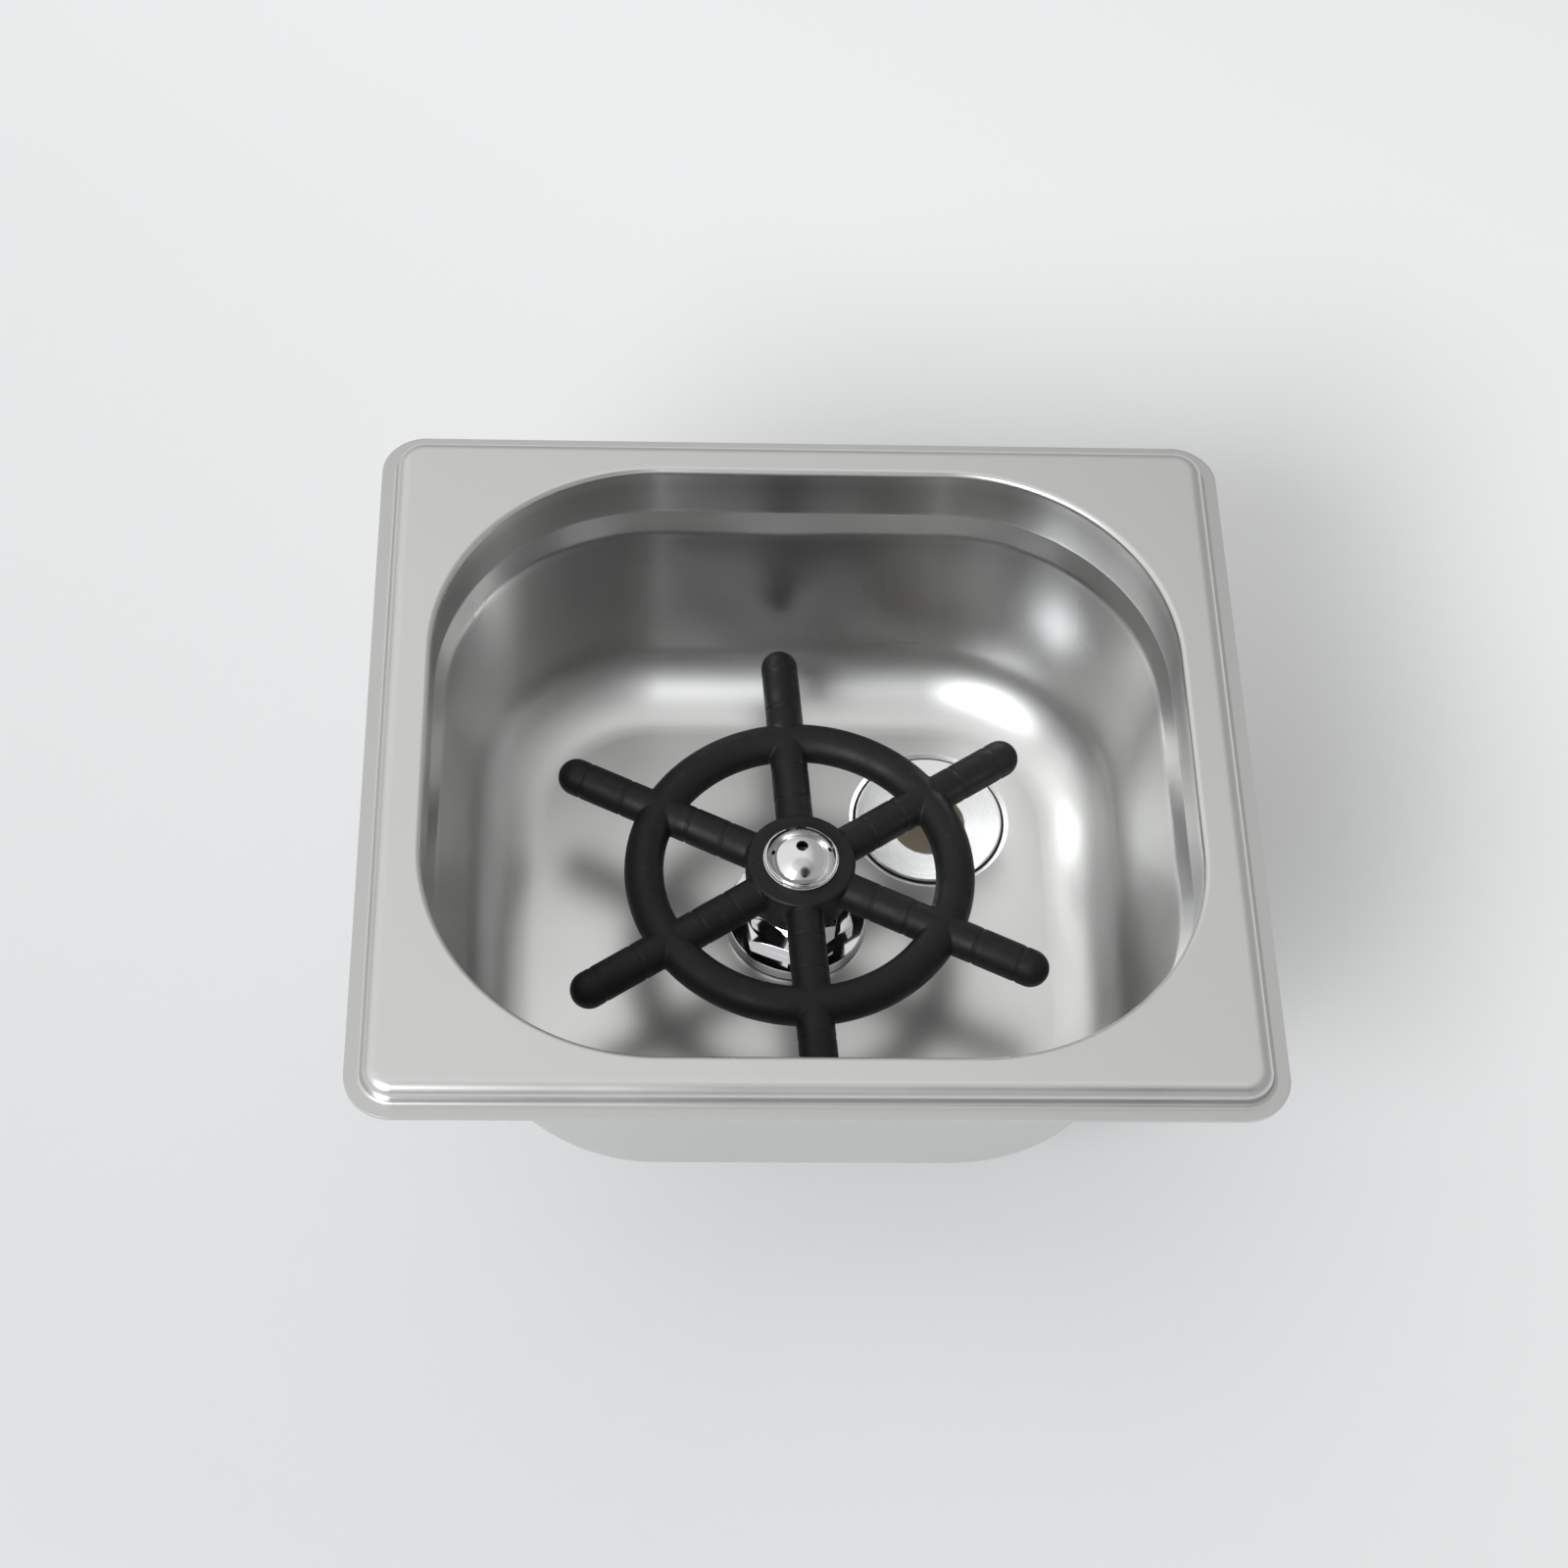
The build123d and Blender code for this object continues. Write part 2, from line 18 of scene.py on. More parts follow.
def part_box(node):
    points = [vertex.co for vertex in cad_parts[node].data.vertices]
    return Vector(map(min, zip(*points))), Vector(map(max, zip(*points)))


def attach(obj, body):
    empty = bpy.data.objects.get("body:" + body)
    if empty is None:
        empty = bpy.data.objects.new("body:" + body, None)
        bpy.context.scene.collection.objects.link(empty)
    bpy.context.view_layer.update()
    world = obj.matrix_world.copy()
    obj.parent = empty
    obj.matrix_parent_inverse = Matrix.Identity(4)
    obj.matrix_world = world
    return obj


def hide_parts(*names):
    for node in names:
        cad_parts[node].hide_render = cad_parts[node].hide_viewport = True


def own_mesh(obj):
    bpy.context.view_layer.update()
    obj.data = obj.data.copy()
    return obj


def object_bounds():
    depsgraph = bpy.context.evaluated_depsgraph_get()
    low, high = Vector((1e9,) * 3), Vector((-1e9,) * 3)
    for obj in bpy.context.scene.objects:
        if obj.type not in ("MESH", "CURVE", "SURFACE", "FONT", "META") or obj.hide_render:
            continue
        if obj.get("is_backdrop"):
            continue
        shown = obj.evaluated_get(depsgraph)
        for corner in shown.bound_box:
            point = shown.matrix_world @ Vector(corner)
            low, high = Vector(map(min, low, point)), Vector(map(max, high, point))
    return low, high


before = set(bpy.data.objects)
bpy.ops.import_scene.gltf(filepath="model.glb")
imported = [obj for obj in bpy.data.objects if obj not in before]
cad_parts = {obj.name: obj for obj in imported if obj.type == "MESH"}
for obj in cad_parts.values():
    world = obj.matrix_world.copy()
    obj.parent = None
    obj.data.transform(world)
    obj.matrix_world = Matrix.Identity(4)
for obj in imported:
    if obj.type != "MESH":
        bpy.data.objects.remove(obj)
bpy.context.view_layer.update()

LOG = logging.getLogger("bar_sink")

Point = tuple[float, float]
Place = tuple[float, float, float]
Colour = tuple[float, float, float]
Piece = bpy.types.Object
Node = bpy.types.Node
Socket = bpy.types.NodeSocket
Material = bpy.types.Material

MM = 0.001
SAME = 0.000001  # Distance in metres under which two places are one
NOISE_MIDDLE: Point = (0.3, 0.7)  # Where most values of a noise lie

# Sizes that several sub-assemblies share
RINSER_AXIS: Point = (0.0, 0.0)
DRAIN_AXIS: Point = (29.797, 26.097)
FLOOR = -60.2
HOLE_RADIUS = 10.83
PIPE_BORE = 8.0
PIPE_ROOT = 9.45
HUB_TOP = -36.7
COLLAR_FOOT = -40.4


class Body(Enum):
    """The bodies of the frame that pieces ride on."""

    SINK = "sink"
    WHEEL = "wheel"


class Slot(Enum):
    """The material slots of the record."""

    STAINLESS = "stainless"
    CHROME = "chrome"
    BLACK_PLASTIC = "black_plastic"
    BLACK_RUBBER = "black_rubber"
    BRASS = "brass"
    WHITE_PLASTIC = "white_plastic"
    SPRING_STEEL = "spring_steel"


# Finishes


@dataclass(frozen=True)
class Noise:
    """A noise: its features per metre, its finer octaves and the strength of each of them."""

    scale: float
    detail: float = 2.0
    rough: float = 0.55


class NodeBench:
    """A node tree being put together."""

    def __init__(self, tree: bpy.types.NodeTree, place: str) -> None:
        """Starts an empty tree.

        Args:
            tree: The tree to fill.
            place: The texture coordinates that its patterns read.
        """
        self.tree = tree
        tree.nodes.clear()
        self.place = self.add("TexCoord").outputs[place]

    def feed(self, node: Node, inputs: dict[str | int, object]) -> None:
        """Feeds a node.

        Args:
            node: The node.
            inputs: A socket to link or a value to set, by the input's name or number.
        """
        for key, value in inputs.items():
            if isinstance(value, Socket):
                self.tree.links.new(value, node.inputs[key])
            else:
                node.inputs[key].default_value = value

    def add(self, kind: str, inputs: dict[str | int, object] | None = None, **settings: object) -> Node:
        """Adds a node.

        Args:
            kind: The node's type, without the ShaderNode before it.
            inputs: What it is fed.
            settings: Its settings by name.

        Returns:
            The node.
        """
        node = self.tree.nodes.new("ShaderNode" + kind)
        for key, value in settings.items():
            setattr(node, key, value)
        self.feed(node, inputs or {})
        return node

    def maths(self, operation: str, *values: object) -> Socket:
        """Adds a Math node on sockets or numbers and returns its value."""
        return self.add("Math", dict(enumerate(values)), operation=operation).outputs["Value"]

    def vector(self, operation: str, *values: object) -> Socket:
        """Adds a Vector Math node on sockets or vectors and returns its result."""
        node = self.add("VectorMath", dict(enumerate(values)), operation=operation)
        return node.outputs["Value" if operation in ("DOT_PRODUCT", "LENGTH") else "Vector"]

    def remap(self, value: Socket, start: Point, end: Point = (0.0, 1.0), way: str = "LINEAR") -> Socket:
        """Maps a value from one range to another and holds it at the ends.

        Args:
            value: The value.
            start: The range that it comes from.
            end: The range that it goes to.
            way: How it goes from one end to the other.

        Returns:
            The mapped value.
        """
        ends = dict(zip(("From Min", "From Max", "To Min", "To Max"), (*start, *end)))
        return self.add("MapRange", {"Value": value} | ends, interpolation_type=way).outputs["Result"]

    def noise(self, noise: Noise, along: Socket | None = None) -> Socket:
        """Adds a noise.

        Args:
            noise: The noise.
            along: The value that it runs along, in metres, or None to fill space.

        Returns:
            The noise value.
        """
        inputs = {"Scale": noise.scale, "Detail": noise.detail, "Roughness": noise.rough}
        if along is None:
            node = self.add("TexNoise", inputs | {"Vector": self.place})
        else:
            node = self.add("TexNoise", inputs | {"W": along}, noise_dimensions="1D")
        return node.outputs["Fac"]

    def spread(self, value: Socket, end: Point) -> Socket:
        """Maps the middle of a noise value to a range."""
        return self.remap(value, NOISE_MIDDLE, end)

    def tint(self, value: Socket, first: Colour | Socket, second: Colour) -> Socket:
        """Mixes two colours.

        Args:
            value: The share of the second colour.
            first: The first colour, linear, or a socket.
            second: The second colour, linear.

        Returns:
            The mixed colour.
        """
        start = first if isinstance(first, Socket) else (*first, 1)
        inputs = {"Factor": value, "A": start, "B": (*second, 1)}
        return self.add("Mix", inputs, data_type="RGBA").outputs["Result"]

    def bump(self, shader: Node, height: Socket, depth: float) -> None:
        """Adds a bump under the ones that a shader already has.

        Args:
            shader: The shader.
            height: The height value, 0 to 1.
            depth: The depth of the relief, in metres.
        """
        node = self.add("Bump", {"Distance": depth, "Strength": 1.0, "Height": height})
        if shader.inputs["Normal"].is_linked:
            self.feed(node, {"Normal": shader.inputs["Normal"].links[0].from_socket})
        self.feed(shader, {"Normal": node.outputs["Normal"]})


@dataclass(frozen=True)
class Finish:
    """A finish: its name, and the record's slot that it fills, or None off the part."""

    name: str
    slot: Slot | None

    def make(self) -> Material:
        """Builds the node material."""
        material = bpy.data.materials.new(self.name)
        material.use_nodes = True
        bench = NodeBench(material.node_tree, "Object")
        shader = bench.add("BsdfPrincipled")
        bench.add("OutputMaterial", {"Surface": shader.outputs["BSDF"]})
        self.paint(bench, shader)
        return material

    def paint(self, bench: NodeBench, shader: Node) -> None:
        """Sets up the shader, in each finish's own way."""
        raise NotImplementedError


@dataclass(frozen=True)
class PressedSteel(Finish):
    """Satin pressed stainless sheet with a fine grain, duller on the floor and the bend above it, and with
    painted light: its colour is made lighter or darker by height and lighter on the outer skin.

    Attributes:
        light: Linear colour of the bright patches.
        dark: Linear colour of the dull patches.
        painted_light_by_height: Painted light, as pairs of a height in millimetres and the share of the
            colour that shows there.
        lowest: Height at which the table of painted light starts.
        tallest: Height of the whole table.
        brightest_painted_light: Largest share of painted light that the table holds.
        outside: How much lighter the sheet's outer skin is painted, as a share.
        painted_outside_lean: Where the painted lighter outer skin starts and is whole, as the normal's lean
            away from the middle times the distance from it, in metres.
        wall_gloss: Lowest and highest roughness on the walls and the rim.
        floor_gloss: Roughness that the floor has on top.
        fade: Height over which what the floor and the bend have on top fades out.
        bend_gloss: Roughness that the strained bend above the floor has on top.
        grain_depth: Depth of the fine grain, in metres.
    """

    name: str = "satin_steel"
    slot: Slot | None = Slot.STAINLESS
    light: Colour = (0.70, 0.70, 0.69)
    dark: Colour = (0.66, 0.66, 0.648)
    # Painted light: the steel's colour is lighter at the floor's bend, on the shoulder band and on the rim,
    # and darker on the walls
    painted_light_by_height: tuple[Point, ...] = (
        (-58.5, 1.19),
        (-51.0, 0.7),
        (-42.0, 0.78),
        (-16.0, 0.8),
        (-13.0, 1.05),
        (-8.8, 1.05),
        (-7.5, 0.8),
        (0.0, 0.8),
        (3.0, 1.0),
    )
    lowest: float = -62.0
    tallest: float = 68.0
    brightest_painted_light: float = 1.2
    # Painted light: the outer skin is made lighter
    outside: float = 1.0
    painted_outside_lean: Point = (0.01, 0.03)
    wall_gloss: Point = (0.27, 0.32)
    floor_gloss: float = 0.06
    fade: float = 14.0
    bend_gloss: float = 0.14
    patches: Noise = Noise(16)
    clouds: Noise = Noise(30)
    grain: Noise = Noise(4200, 1)
    grain_depth: float = 0.0000045

    def painted_light_share(self, bench: NodeBench, height: Socket) -> Socket:
        """Gives the painted light: the share of the colour that shows, set by height and lighter on the
        outer skin.

        Args:
            bench: The material's nodes.
            height: The height, in metres.

        Returns:
            The share.
        """
        level = bench.remap(height, (self.lowest * MM, (self.lowest + self.tallest) * MM))
        table = bench.add("ValToRGB", {"Fac": level})
        stops = table.color_ramp.elements
        stops.remove(stops[1])
        for index, (place, share) in enumerate(self.painted_light_by_height):
            position = (place - self.lowest) / self.tallest
            stop = stops.new(position) if index else stops[0]
            stop.position = position
            stop.color = (share / self.brightest_painted_light,) * 3 + (1,)
        inner_painted_light = bench.maths("MULTIPLY", table.outputs["Color"], self.brightest_painted_light)
        lean = bench.vector("DOT_PRODUCT", bench.add("NewGeometry").outputs["Normal"], bench.place)
        return bench.maths("MAXIMUM", inner_painted_light, bench.remap(lean, self.painted_outside_lean, (0.0, self.outside)))

    def paint(self, bench: NodeBench, shader: Node) -> None:
        """Sets up the shader."""
        height = bench.add("SeparateXYZ", {0: bench.place}).outputs["Z"]
        patches = bench.tint(bench.noise(self.patches), self.dark, self.light)
        # Painted light: the grain's colour is scaled by the painted light share
        inputs = {0: patches, "Scale": self.painted_light_share(bench, height)}
        colour = bench.add("VectorMath", inputs, operation="SCALE").outputs["Vector"]
        floor, top, middle, third = ((FLOOR + self.fade * part) * MM for part in (0, 1, 1 / 2, 1 / 3))
        low = bench.remap(height, (floor, top), (self.floor_gloss, 0.0))
        total = bench.maths("ADD", bench.spread(bench.noise(self.clouds), self.wall_gloss), low)
        start = bench.remap(height, (floor, third), (0.0, self.bend_gloss))
        end = bench.remap(height, (top, middle))
        rough = bench.maths("MULTIPLY_ADD", start, end, total)
        bench.feed(shader, {"Metallic": 1.0, "Base Color": colour, "Roughness": rough})
        bench.bump(shader, bench.noise(self.grain), self.grain_depth)


@dataclass(frozen=True)
class TurnedSteel(Finish):
    """Satin steel with fine rings from the lathe.

    Attributes:
        centre: The turning axis.
        light: Linear colour of the bright rings.
        dark: Linear colour of the dull rings.
        gloss: Lowest and highest roughness.
        groove: Depth of the rings, in metres.
        stretch: How far the rings draw out a highlight, 0 to 1.
        bore: Radius of the bore.
        bore_edge: How far outside the bore its dull surface starts and is whole.
        dull: Linear colour of the bore's dull surface.
        dull_gloss: Roughness that it has on top.
    """

    slot: Slot | None = Slot.STAINLESS
    centre: Point = RINSER_AXIS
    light: Colour = (0.84, 0.845, 0.85)
    dark: Colour = (0.80, 0.805, 0.81)
    gloss: Point = (0.27, 0.31)
    groove: float = 0.0000004
    stretch: float = 0.35
    bore: float = 0.0
    bore_edge: Point = (0.2, 0.1)
    dull: Colour = (0.82, 0.76, 0.68)
    dull_gloss: float = 0.35
    fine: Noise = Noise(3200, 2, 0.5)
    broad: Noise = Noise(500, 2, 0.5)

    def paint(self, bench: NodeBench, shader: Node) -> None:
        """Sets up the shader."""
        away = bench.vector("SUBTRACT", bench.place, (self.centre[0] * MM, self.centre[1] * MM, 0))
        radius = bench.vector("LENGTH", bench.vector("MULTIPLY", away, (1, 1, 0)))
        rings = bench.noise(self.fine, radius)
        start, end = self.bore_edge
        inside = bench.remap(radius, ((self.bore + start) * MM, (self.bore + end) * MM))
        gloss = bench.spread(bench.noise(self.broad, radius), self.gloss)
        inputs = {
            "Metallic": 1.0,
            "Base Color": bench.tint(inside, bench.tint(rings, self.dark, self.light), self.dull),
            "Roughness": bench.maths("MULTIPLY_ADD", inside, self.dull_gloss, gloss),
            "Tangent": bench.vector("NORMALIZE", bench.vector("CROSS_PRODUCT", (0, 0, 1), away)),
            "Anisotropic": self.stretch,
        }
        bench.feed(shader, inputs)
        bench.bump(shader, rings, self.groove)


@dataclass(frozen=True)
class Coat(Finish):
    """A finish of marks in a second colour, a cloudy gloss and a fine relief.

    Attributes:
        clean: Linear colour of the clean surface.
        marked: Linear colour of the marks.
        gloss: Lowest and highest roughness.
        marks: Noise of the marks.
        clouds: Noise of the gloss.
        reliefs: Noises of the relief, each with its depth in metres.
        mark_edge: Values of the marks' noise at which one starts and is whole.
        metal: 1 for metal, 0 for the rest.
        index: Index of refraction.
        shine: Strength of the reflection, 0.5 for plain plastic.
    """

    clean: Colour
    marked: Colour
    gloss: Point
    marks: Noise
    clouds: Noise
    reliefs: tuple[tuple[Noise, float], ...]
    mark_edge: Point = (0.0, 1.0)
    metal: float = 0.0
    index: float = 1.5
    shine: float = 0.5

    def paint(self, bench: NodeBench, shader: Node) -> None:
        """Sets up the shader."""
        marks = bench.remap(bench.noise(self.marks), self.mark_edge)
        inputs = {
            "Metallic": self.metal,
            "IOR": self.index,
            "Specular IOR Level": self.shine,
            "Base Color": bench.tint(marks, self.clean, self.marked),
            "Roughness": bench.spread(bench.noise(self.clouds), self.gloss),
        }
        bench.feed(shader, inputs)
        for noise, depth in self.reliefs:
            bench.bump(shader, bench.noise(noise), depth)


@dataclass(frozen=True)
class PolishedMetal(Coat):
    """Bright metal with faint smears of handling and slow ripples."""

    clean: Colour = (0.80, 0.80, 0.81)
    marked: Colour = (0.74, 0.74, 0.75)
    gloss: Point = (0.035, 0.09)
    marks: Noise = Noise(130, 4)
    clouds: Noise = Noise(260, 4)
    reliefs: tuple[tuple[Noise, float], ...] = ((Noise(700), 0.000001),)
    metal: float = 1.0


@dataclass(frozen=True)
class MouldedPlastic(Coat):
    """Moulded plastic: fine grain, slow ripples and a few pale scuffs."""

    gloss: Point = (0.44, 0.62)
    marks: Noise = Noise(420, 6, 0.7)
    clouds: Noise = Noise(190, 4)
    reliefs: tuple[tuple[Noise, float], ...] = ((Noise(160), 0.00005), (Noise(2600), 0.000014))
    mark_edge: Point = (0.58, 0.8)
    index: float = 1.46


@dataclass(frozen=True)
class Rubber(Coat):
    """Dull black rubber with a fine grain and a dusty bloom."""

    name: str = "rubber"
    slot: Slot | None = Slot.BLACK_RUBBER
    clean: Colour = (0.012, 0.012, 0.013)
    marked: Colour = (0.03, 0.03, 0.031)
    gloss: Point = (0.6, 0.8)
    marks: Noise = Noise(300, 4)
    clouds: Noise = Noise(500, 3)
    reliefs: tuple[tuple[Noise, float], ...] = ((Noise(2400), 0.00001),)


@dataclass(frozen=True)
class StudioFloor(Finish):
    """The pale floor of the studio, with painted light: lighter to the back right and darker to the front
    left.

    Attributes:
        light: Linear colour to the back right, painted lighter.
        dark: Linear colour to the front left, painted shade.
        way: Direction from dark to light.
        reach: Distances from the middle between which the colour changes, in metres.
        cloud_share: How much of the change is cloudy.
        rough: Its roughness.
        shine: Strength of the reflection.
    """

    name: str = "studio_floor"
    slot: Slot | None = None
    light: Colour = (0.85, 0.855, 0.855)
    dark: Colour = (0.66, 0.665, 0.665)
    way: Place = (0.6, 0.8, 0)
    reach: Point = (-0.16, 0.22)
    clouds: Noise = Noise(6, 3)
    cloud_share: float = 0.08
    rough: float = 0.9
    shine: float = 0.1

    def paint(self, bench: NodeBench, shader: Node) -> None:
        """Sets up the shader."""
        # Painted light: the colour runs from painted shade at the front left to a lighter back right
        slope = bench.remap(bench.vector("DOT_PRODUCT", bench.place, self.way), self.reach)
        cloudy = bench.maths("MULTIPLY_ADD", bench.noise(self.clouds), self.cloud_share, slope)
        colour = bench.tint(cloudy, self.dark, self.light)
        bench.feed(shader, {"Base Color": colour, "Roughness": self.rough, "Specular IOR Level": self.shine})


@cache
def material_of(finish: Finish) -> Material:
    """Makes a finish's material the first time, and returns it each time."""
    return finish.make()


SATIN = PressedSteel()
CHROME = PolishedMetal("chrome_plate", Slot.CHROME)
BLACK = MouldedPlastic(
    "black_plastic", Slot.BLACK_PLASTIC, (0.006, 0.006, 0.0066), (0.02, 0.02, 0.021), shine=0.32
)
WHITE = MouldedPlastic("white_plastic", Slot.WHITE_PLASTIC, (0.70, 0.70, 0.68), (0.76, 0.76, 0.74))
RUBBER = Rubber()
BRASS = PolishedMetal("turned_brass", Slot.BRASS, (0.34, 0.26, 0.13), (0.26, 0.19, 0.09), (0.3, 0.42))
WIRE = PolishedMetal(
    "spring_wire", Slot.SPRING_STEEL, (0.55, 0.55, 0.55), (0.46, 0.46, 0.46), (0.2, 0.32)
)
WASHER_STEEL = TurnedSteel("turned_washer")
SHANK_WASHER_STEEL = TurnedSteel("turned_shank_washer")
DRAIN_STEEL = TurnedSteel("turned_drain", centre=DRAIN_AXIS, gloss=(0.26, 0.29), bore=PIPE_BORE)


# Modelling


def rounded_path(points: list[tuple[float, float, float]], steps: int) -> list[Point]:
    """Rounds the corners of a path.

    Args:
        points: (across, up, corner radius) of each corner.
        steps: Straight pieces in each rounded corner.

    Returns:
        The points of the rounded path.
    """
    path: list[Point] = []
    last = len(points) - 1
    for index, (across, up, corner) in enumerate(points):
        here = Vector((across, up))
        if corner <= 0 or index in (0, last):
            path.append((across, up))
            continue
        back = (Vector(points[index - 1][:2]) - here).normalized()
        ahead = (Vector(points[index + 1][:2]) - here).normalized()
        half = back.angle(ahead) / 2
        centre = here + (back + ahead).normalized() * (corner / math.sin(half))
        start = here + back * (corner / math.tan(half)) - centre
        end = here + ahead * (corner / math.tan(half)) - centre
        for step in range(steps + 1):
            way = start.slerp(end, step / steps).normalized() * corner
            path.append(tuple(centre + way))
    return path


class Bench:
    """Blender's own modelling tools, used on one object at a time."""

    @staticmethod
    def leave() -> None:
        """Goes back to object mode."""
        bpy.ops.object.mode_set(mode="OBJECT")

    @staticmethod
    def clear() -> None:
        """Leaves edit mode and deselects every object."""
        if bpy.context.object is not None and bpy.context.object.mode != "OBJECT":
            Bench.leave()
        bpy.ops.object.select_all(action="DESELECT")

    @staticmethod
    def pick(obj: Piece) -> None:
        """Selects one object alone and makes it active."""
        Bench.clear()
        obj.select_set(True)
        bpy.context.view_layer.objects.active = obj

    @staticmethod
    def edit(obj: Piece, mode: str = "EDGE", action: str = "DESELECT") -> None:
        """Opens one object in edit mode.

        Args:
            obj: The object to edit.
            mode: VERT, EDGE or FACE.
            action: SELECT to start with all of it selected, DESELECT with nothing.
        """
        Bench.pick(obj)
        bpy.ops.object.mode_set(mode="EDIT")
        bpy.ops.mesh.select_mode(type=mode)
        bpy.ops.mesh.select_all(action=action)

    @staticmethod
    def choose(obj: Piece, test: Callable[[Vector], bool]) -> None:
        """Selects the open edges whose ends pass a test, and leaves the object in edit mode.

        Args:
            obj: The object to select on.
            test: Takes the place of an end.
        """
        Bench.edit(obj)
        bpy.ops.mesh.select_non_manifold()
        Bench.leave()
        found = {edge.index for edge in obj.data.edges if edge.select}
        Bench.edit(obj)
        Bench.leave()
        places = [vert.co for vert in obj.data.vertices]
        for edge in obj.data.edges:
            edge.select = edge.index in found and all(test(places[index]) for index in edge.vertices)
        bpy.ops.object.mode_set(mode="EDIT")

    @staticmethod
    def name(obj: Piece, name: str) -> Piece:
        """Names an object and its mesh, and returns it."""
        obj.name = name
        obj.data.name = name
        return obj

    @staticmethod
    def settle(obj: Piece) -> Piece:
        """Moves an object's place into its mesh, and returns it."""
        Bench.pick(obj)
        bpy.ops.object.transform_apply(location=True, rotation=True, scale=True)
        return obj

    @staticmethod
    def modify(obj: Piece, kind: str, **settings: object) -> None:
        """Adds a modifier and applies it.

        Args:
            obj: The object to change.
            kind: The modifier's type.
            settings: The modifier's settings by name.
        """
        Bench.pick(obj)
        bpy.ops.object.modifier_add(type=kind)
        modifier = obj.modifiers[-1]
        for key, value in settings.items():
            setattr(modifier, key, value)
        bpy.ops.object.modifier_apply(modifier=modifier.name)

    @staticmethod
    def outwards(obj: Piece) -> Piece:
        """Merges doubled points, turns every face outwards and returns the object."""
        Bench.edit(obj, "VERT", "SELECT")
        bpy.ops.mesh.remove_doubles(threshold=SAME)
        bpy.ops.mesh.normals_make_consistent(inside=False)
        Bench.leave()
        return obj

    @staticmethod
    def smooth(obj: Piece, angle: float) -> Piece:
        """Smooths the edges up to an angle in degrees, and returns the object."""
        Bench.pick(obj)
        bpy.ops.object.shade_smooth_by_angle(angle=math.radians(angle))
        return obj

    @staticmethod
    def soften(obj: Piece, edge: float, angle: float = 32.0) -> Piece:
        """Bevels the sharp edges, smooths the rest and keeps flat faces flat.

        Args:
            obj: The object to finish.
            edge: Width of the bevels.
            angle: Edges sharper than this, in degrees, are bevelled.

        Returns:
            The object.
        """
        limit = {"limit_method": "ANGLE", "angle_limit": math.radians(angle)}
        Bench.modify(obj, "BEVEL", width=edge * MM, segments=2, use_clamp_overlap=True, **limit)
        Bench.smooth(obj, angle)
        Bench.modify(obj, "WEIGHTED_NORMAL", keep_sharp=True)
        return obj

    @staticmethod
    def join(first: Piece, *others: Piece) -> Piece:
        """Joins objects into the first one, and returns it."""
        Bench.pick(first)
        for other in others:
            other.select_set(True)
        bpy.ops.object.join()
        return first

    @staticmethod
    def cut(obj: Piece, operation: str, tool: Piece) -> None:
        """Cuts an object with a tool and takes the tool away.

        Args:
            obj: The object to cut.
            operation: DIFFERENCE or INTERSECT.
            tool: The tool.
        """
        Bench.modify(obj, "BOOLEAN", operation=operation, object=tool, solver="EXACT")
        bpy.data.objects.remove(tool)

    @staticmethod
    def draw(path: list[Point], pivot: Place, axis: int = 2) -> None:
        """Draws the selected ring out along an axis, one extrusion for each point of a path.

        Args:
            path: (radius, place along the axis) of each ring. A radius of 0 closes the end.
            pivot: A place on the line that the rings are centred on, in metres.
            axis: 0 for X and 2 for Z.
        """
        for (radius, place), (next_radius, next_place) in zip(path, path[1:]):
            move, centre = [0.0, 0.0, 0.0], list(pivot)
            move[axis] = (next_place - place) * MM
            centre[axis] = next_place * MM
            bpy.ops.mesh.extrude_region_move(TRANSFORM_OT_translate={"value": move})
            if next_radius > 0:
                share = [next_radius / radius] * 3
                share[axis] = 1.0
                bpy.ops.transform.resize(value=share, center_override=centre)
            else:
                bpy.ops.mesh.merge(type="CENTER")

    @staticmethod
    def wind(obj: Piece, pitch: float, turns: int, steps: int, angle: float, centre: Point) -> Piece:
        """Winds an open outline beside the Z axis into a closed helix.

        Args:
            obj: The outline.
            pitch: Rise of one turn.
            turns: Number of turns.
            steps: Steps of one turn.
            angle: Edges sharper than this, in degrees, stay sharp.
            centre: The axis that the helix moves to.

        Returns:
            The helix.
        """
        Bench.modify(
            obj,
            "SCREW",
            axis="Z",
            angle=2 * math.pi,
            screw_offset=pitch * MM,
            iterations=turns,
            steps=steps,
            render_steps=steps,
            use_merge_vertices=True,
            merge_threshold=SAME,
        )
        Bench.edit(obj)
        bpy.ops.mesh.select_non_manifold()
        bpy.ops.mesh.edge_face_add()
        Bench.leave()
        obj.location = (centre[0] * MM, centre[1] * MM, 0)
        return Bench.smooth(Bench.outwards(Bench.settle(obj)), angle)


def turned(name: str, profile: list[Point], centre: Point = RINSER_AXIS, segments: int = 128) -> Piece:
    """Turns a closed outline about an upright axis, ring by ring.

    Args:
        name: The new object's name.
        profile: (radius, height) of each corner.
        centre: The axis, X and Y.
        segments: Faces round each ring.

    Returns:
        The new object.
    """
    Bench.clear()
    radius, height = profile[0]
    place = (centre[0] * MM, centre[1] * MM, height * MM)
    bpy.ops.mesh.primitive_circle_add(vertices=segments, radius=radius * MM, location=place)
    obj = Bench.settle(bpy.context.object)
    Bench.edit(obj, action="SELECT")
    Bench.draw(profile, place)
    bpy.ops.mesh.select_all(action="DESELECT")
    bpy.ops.mesh.select_non_manifold()
    bpy.ops.mesh.bridge_edge_loops()
    Bench.leave()
    return Bench.name(Bench.outwards(obj), name)


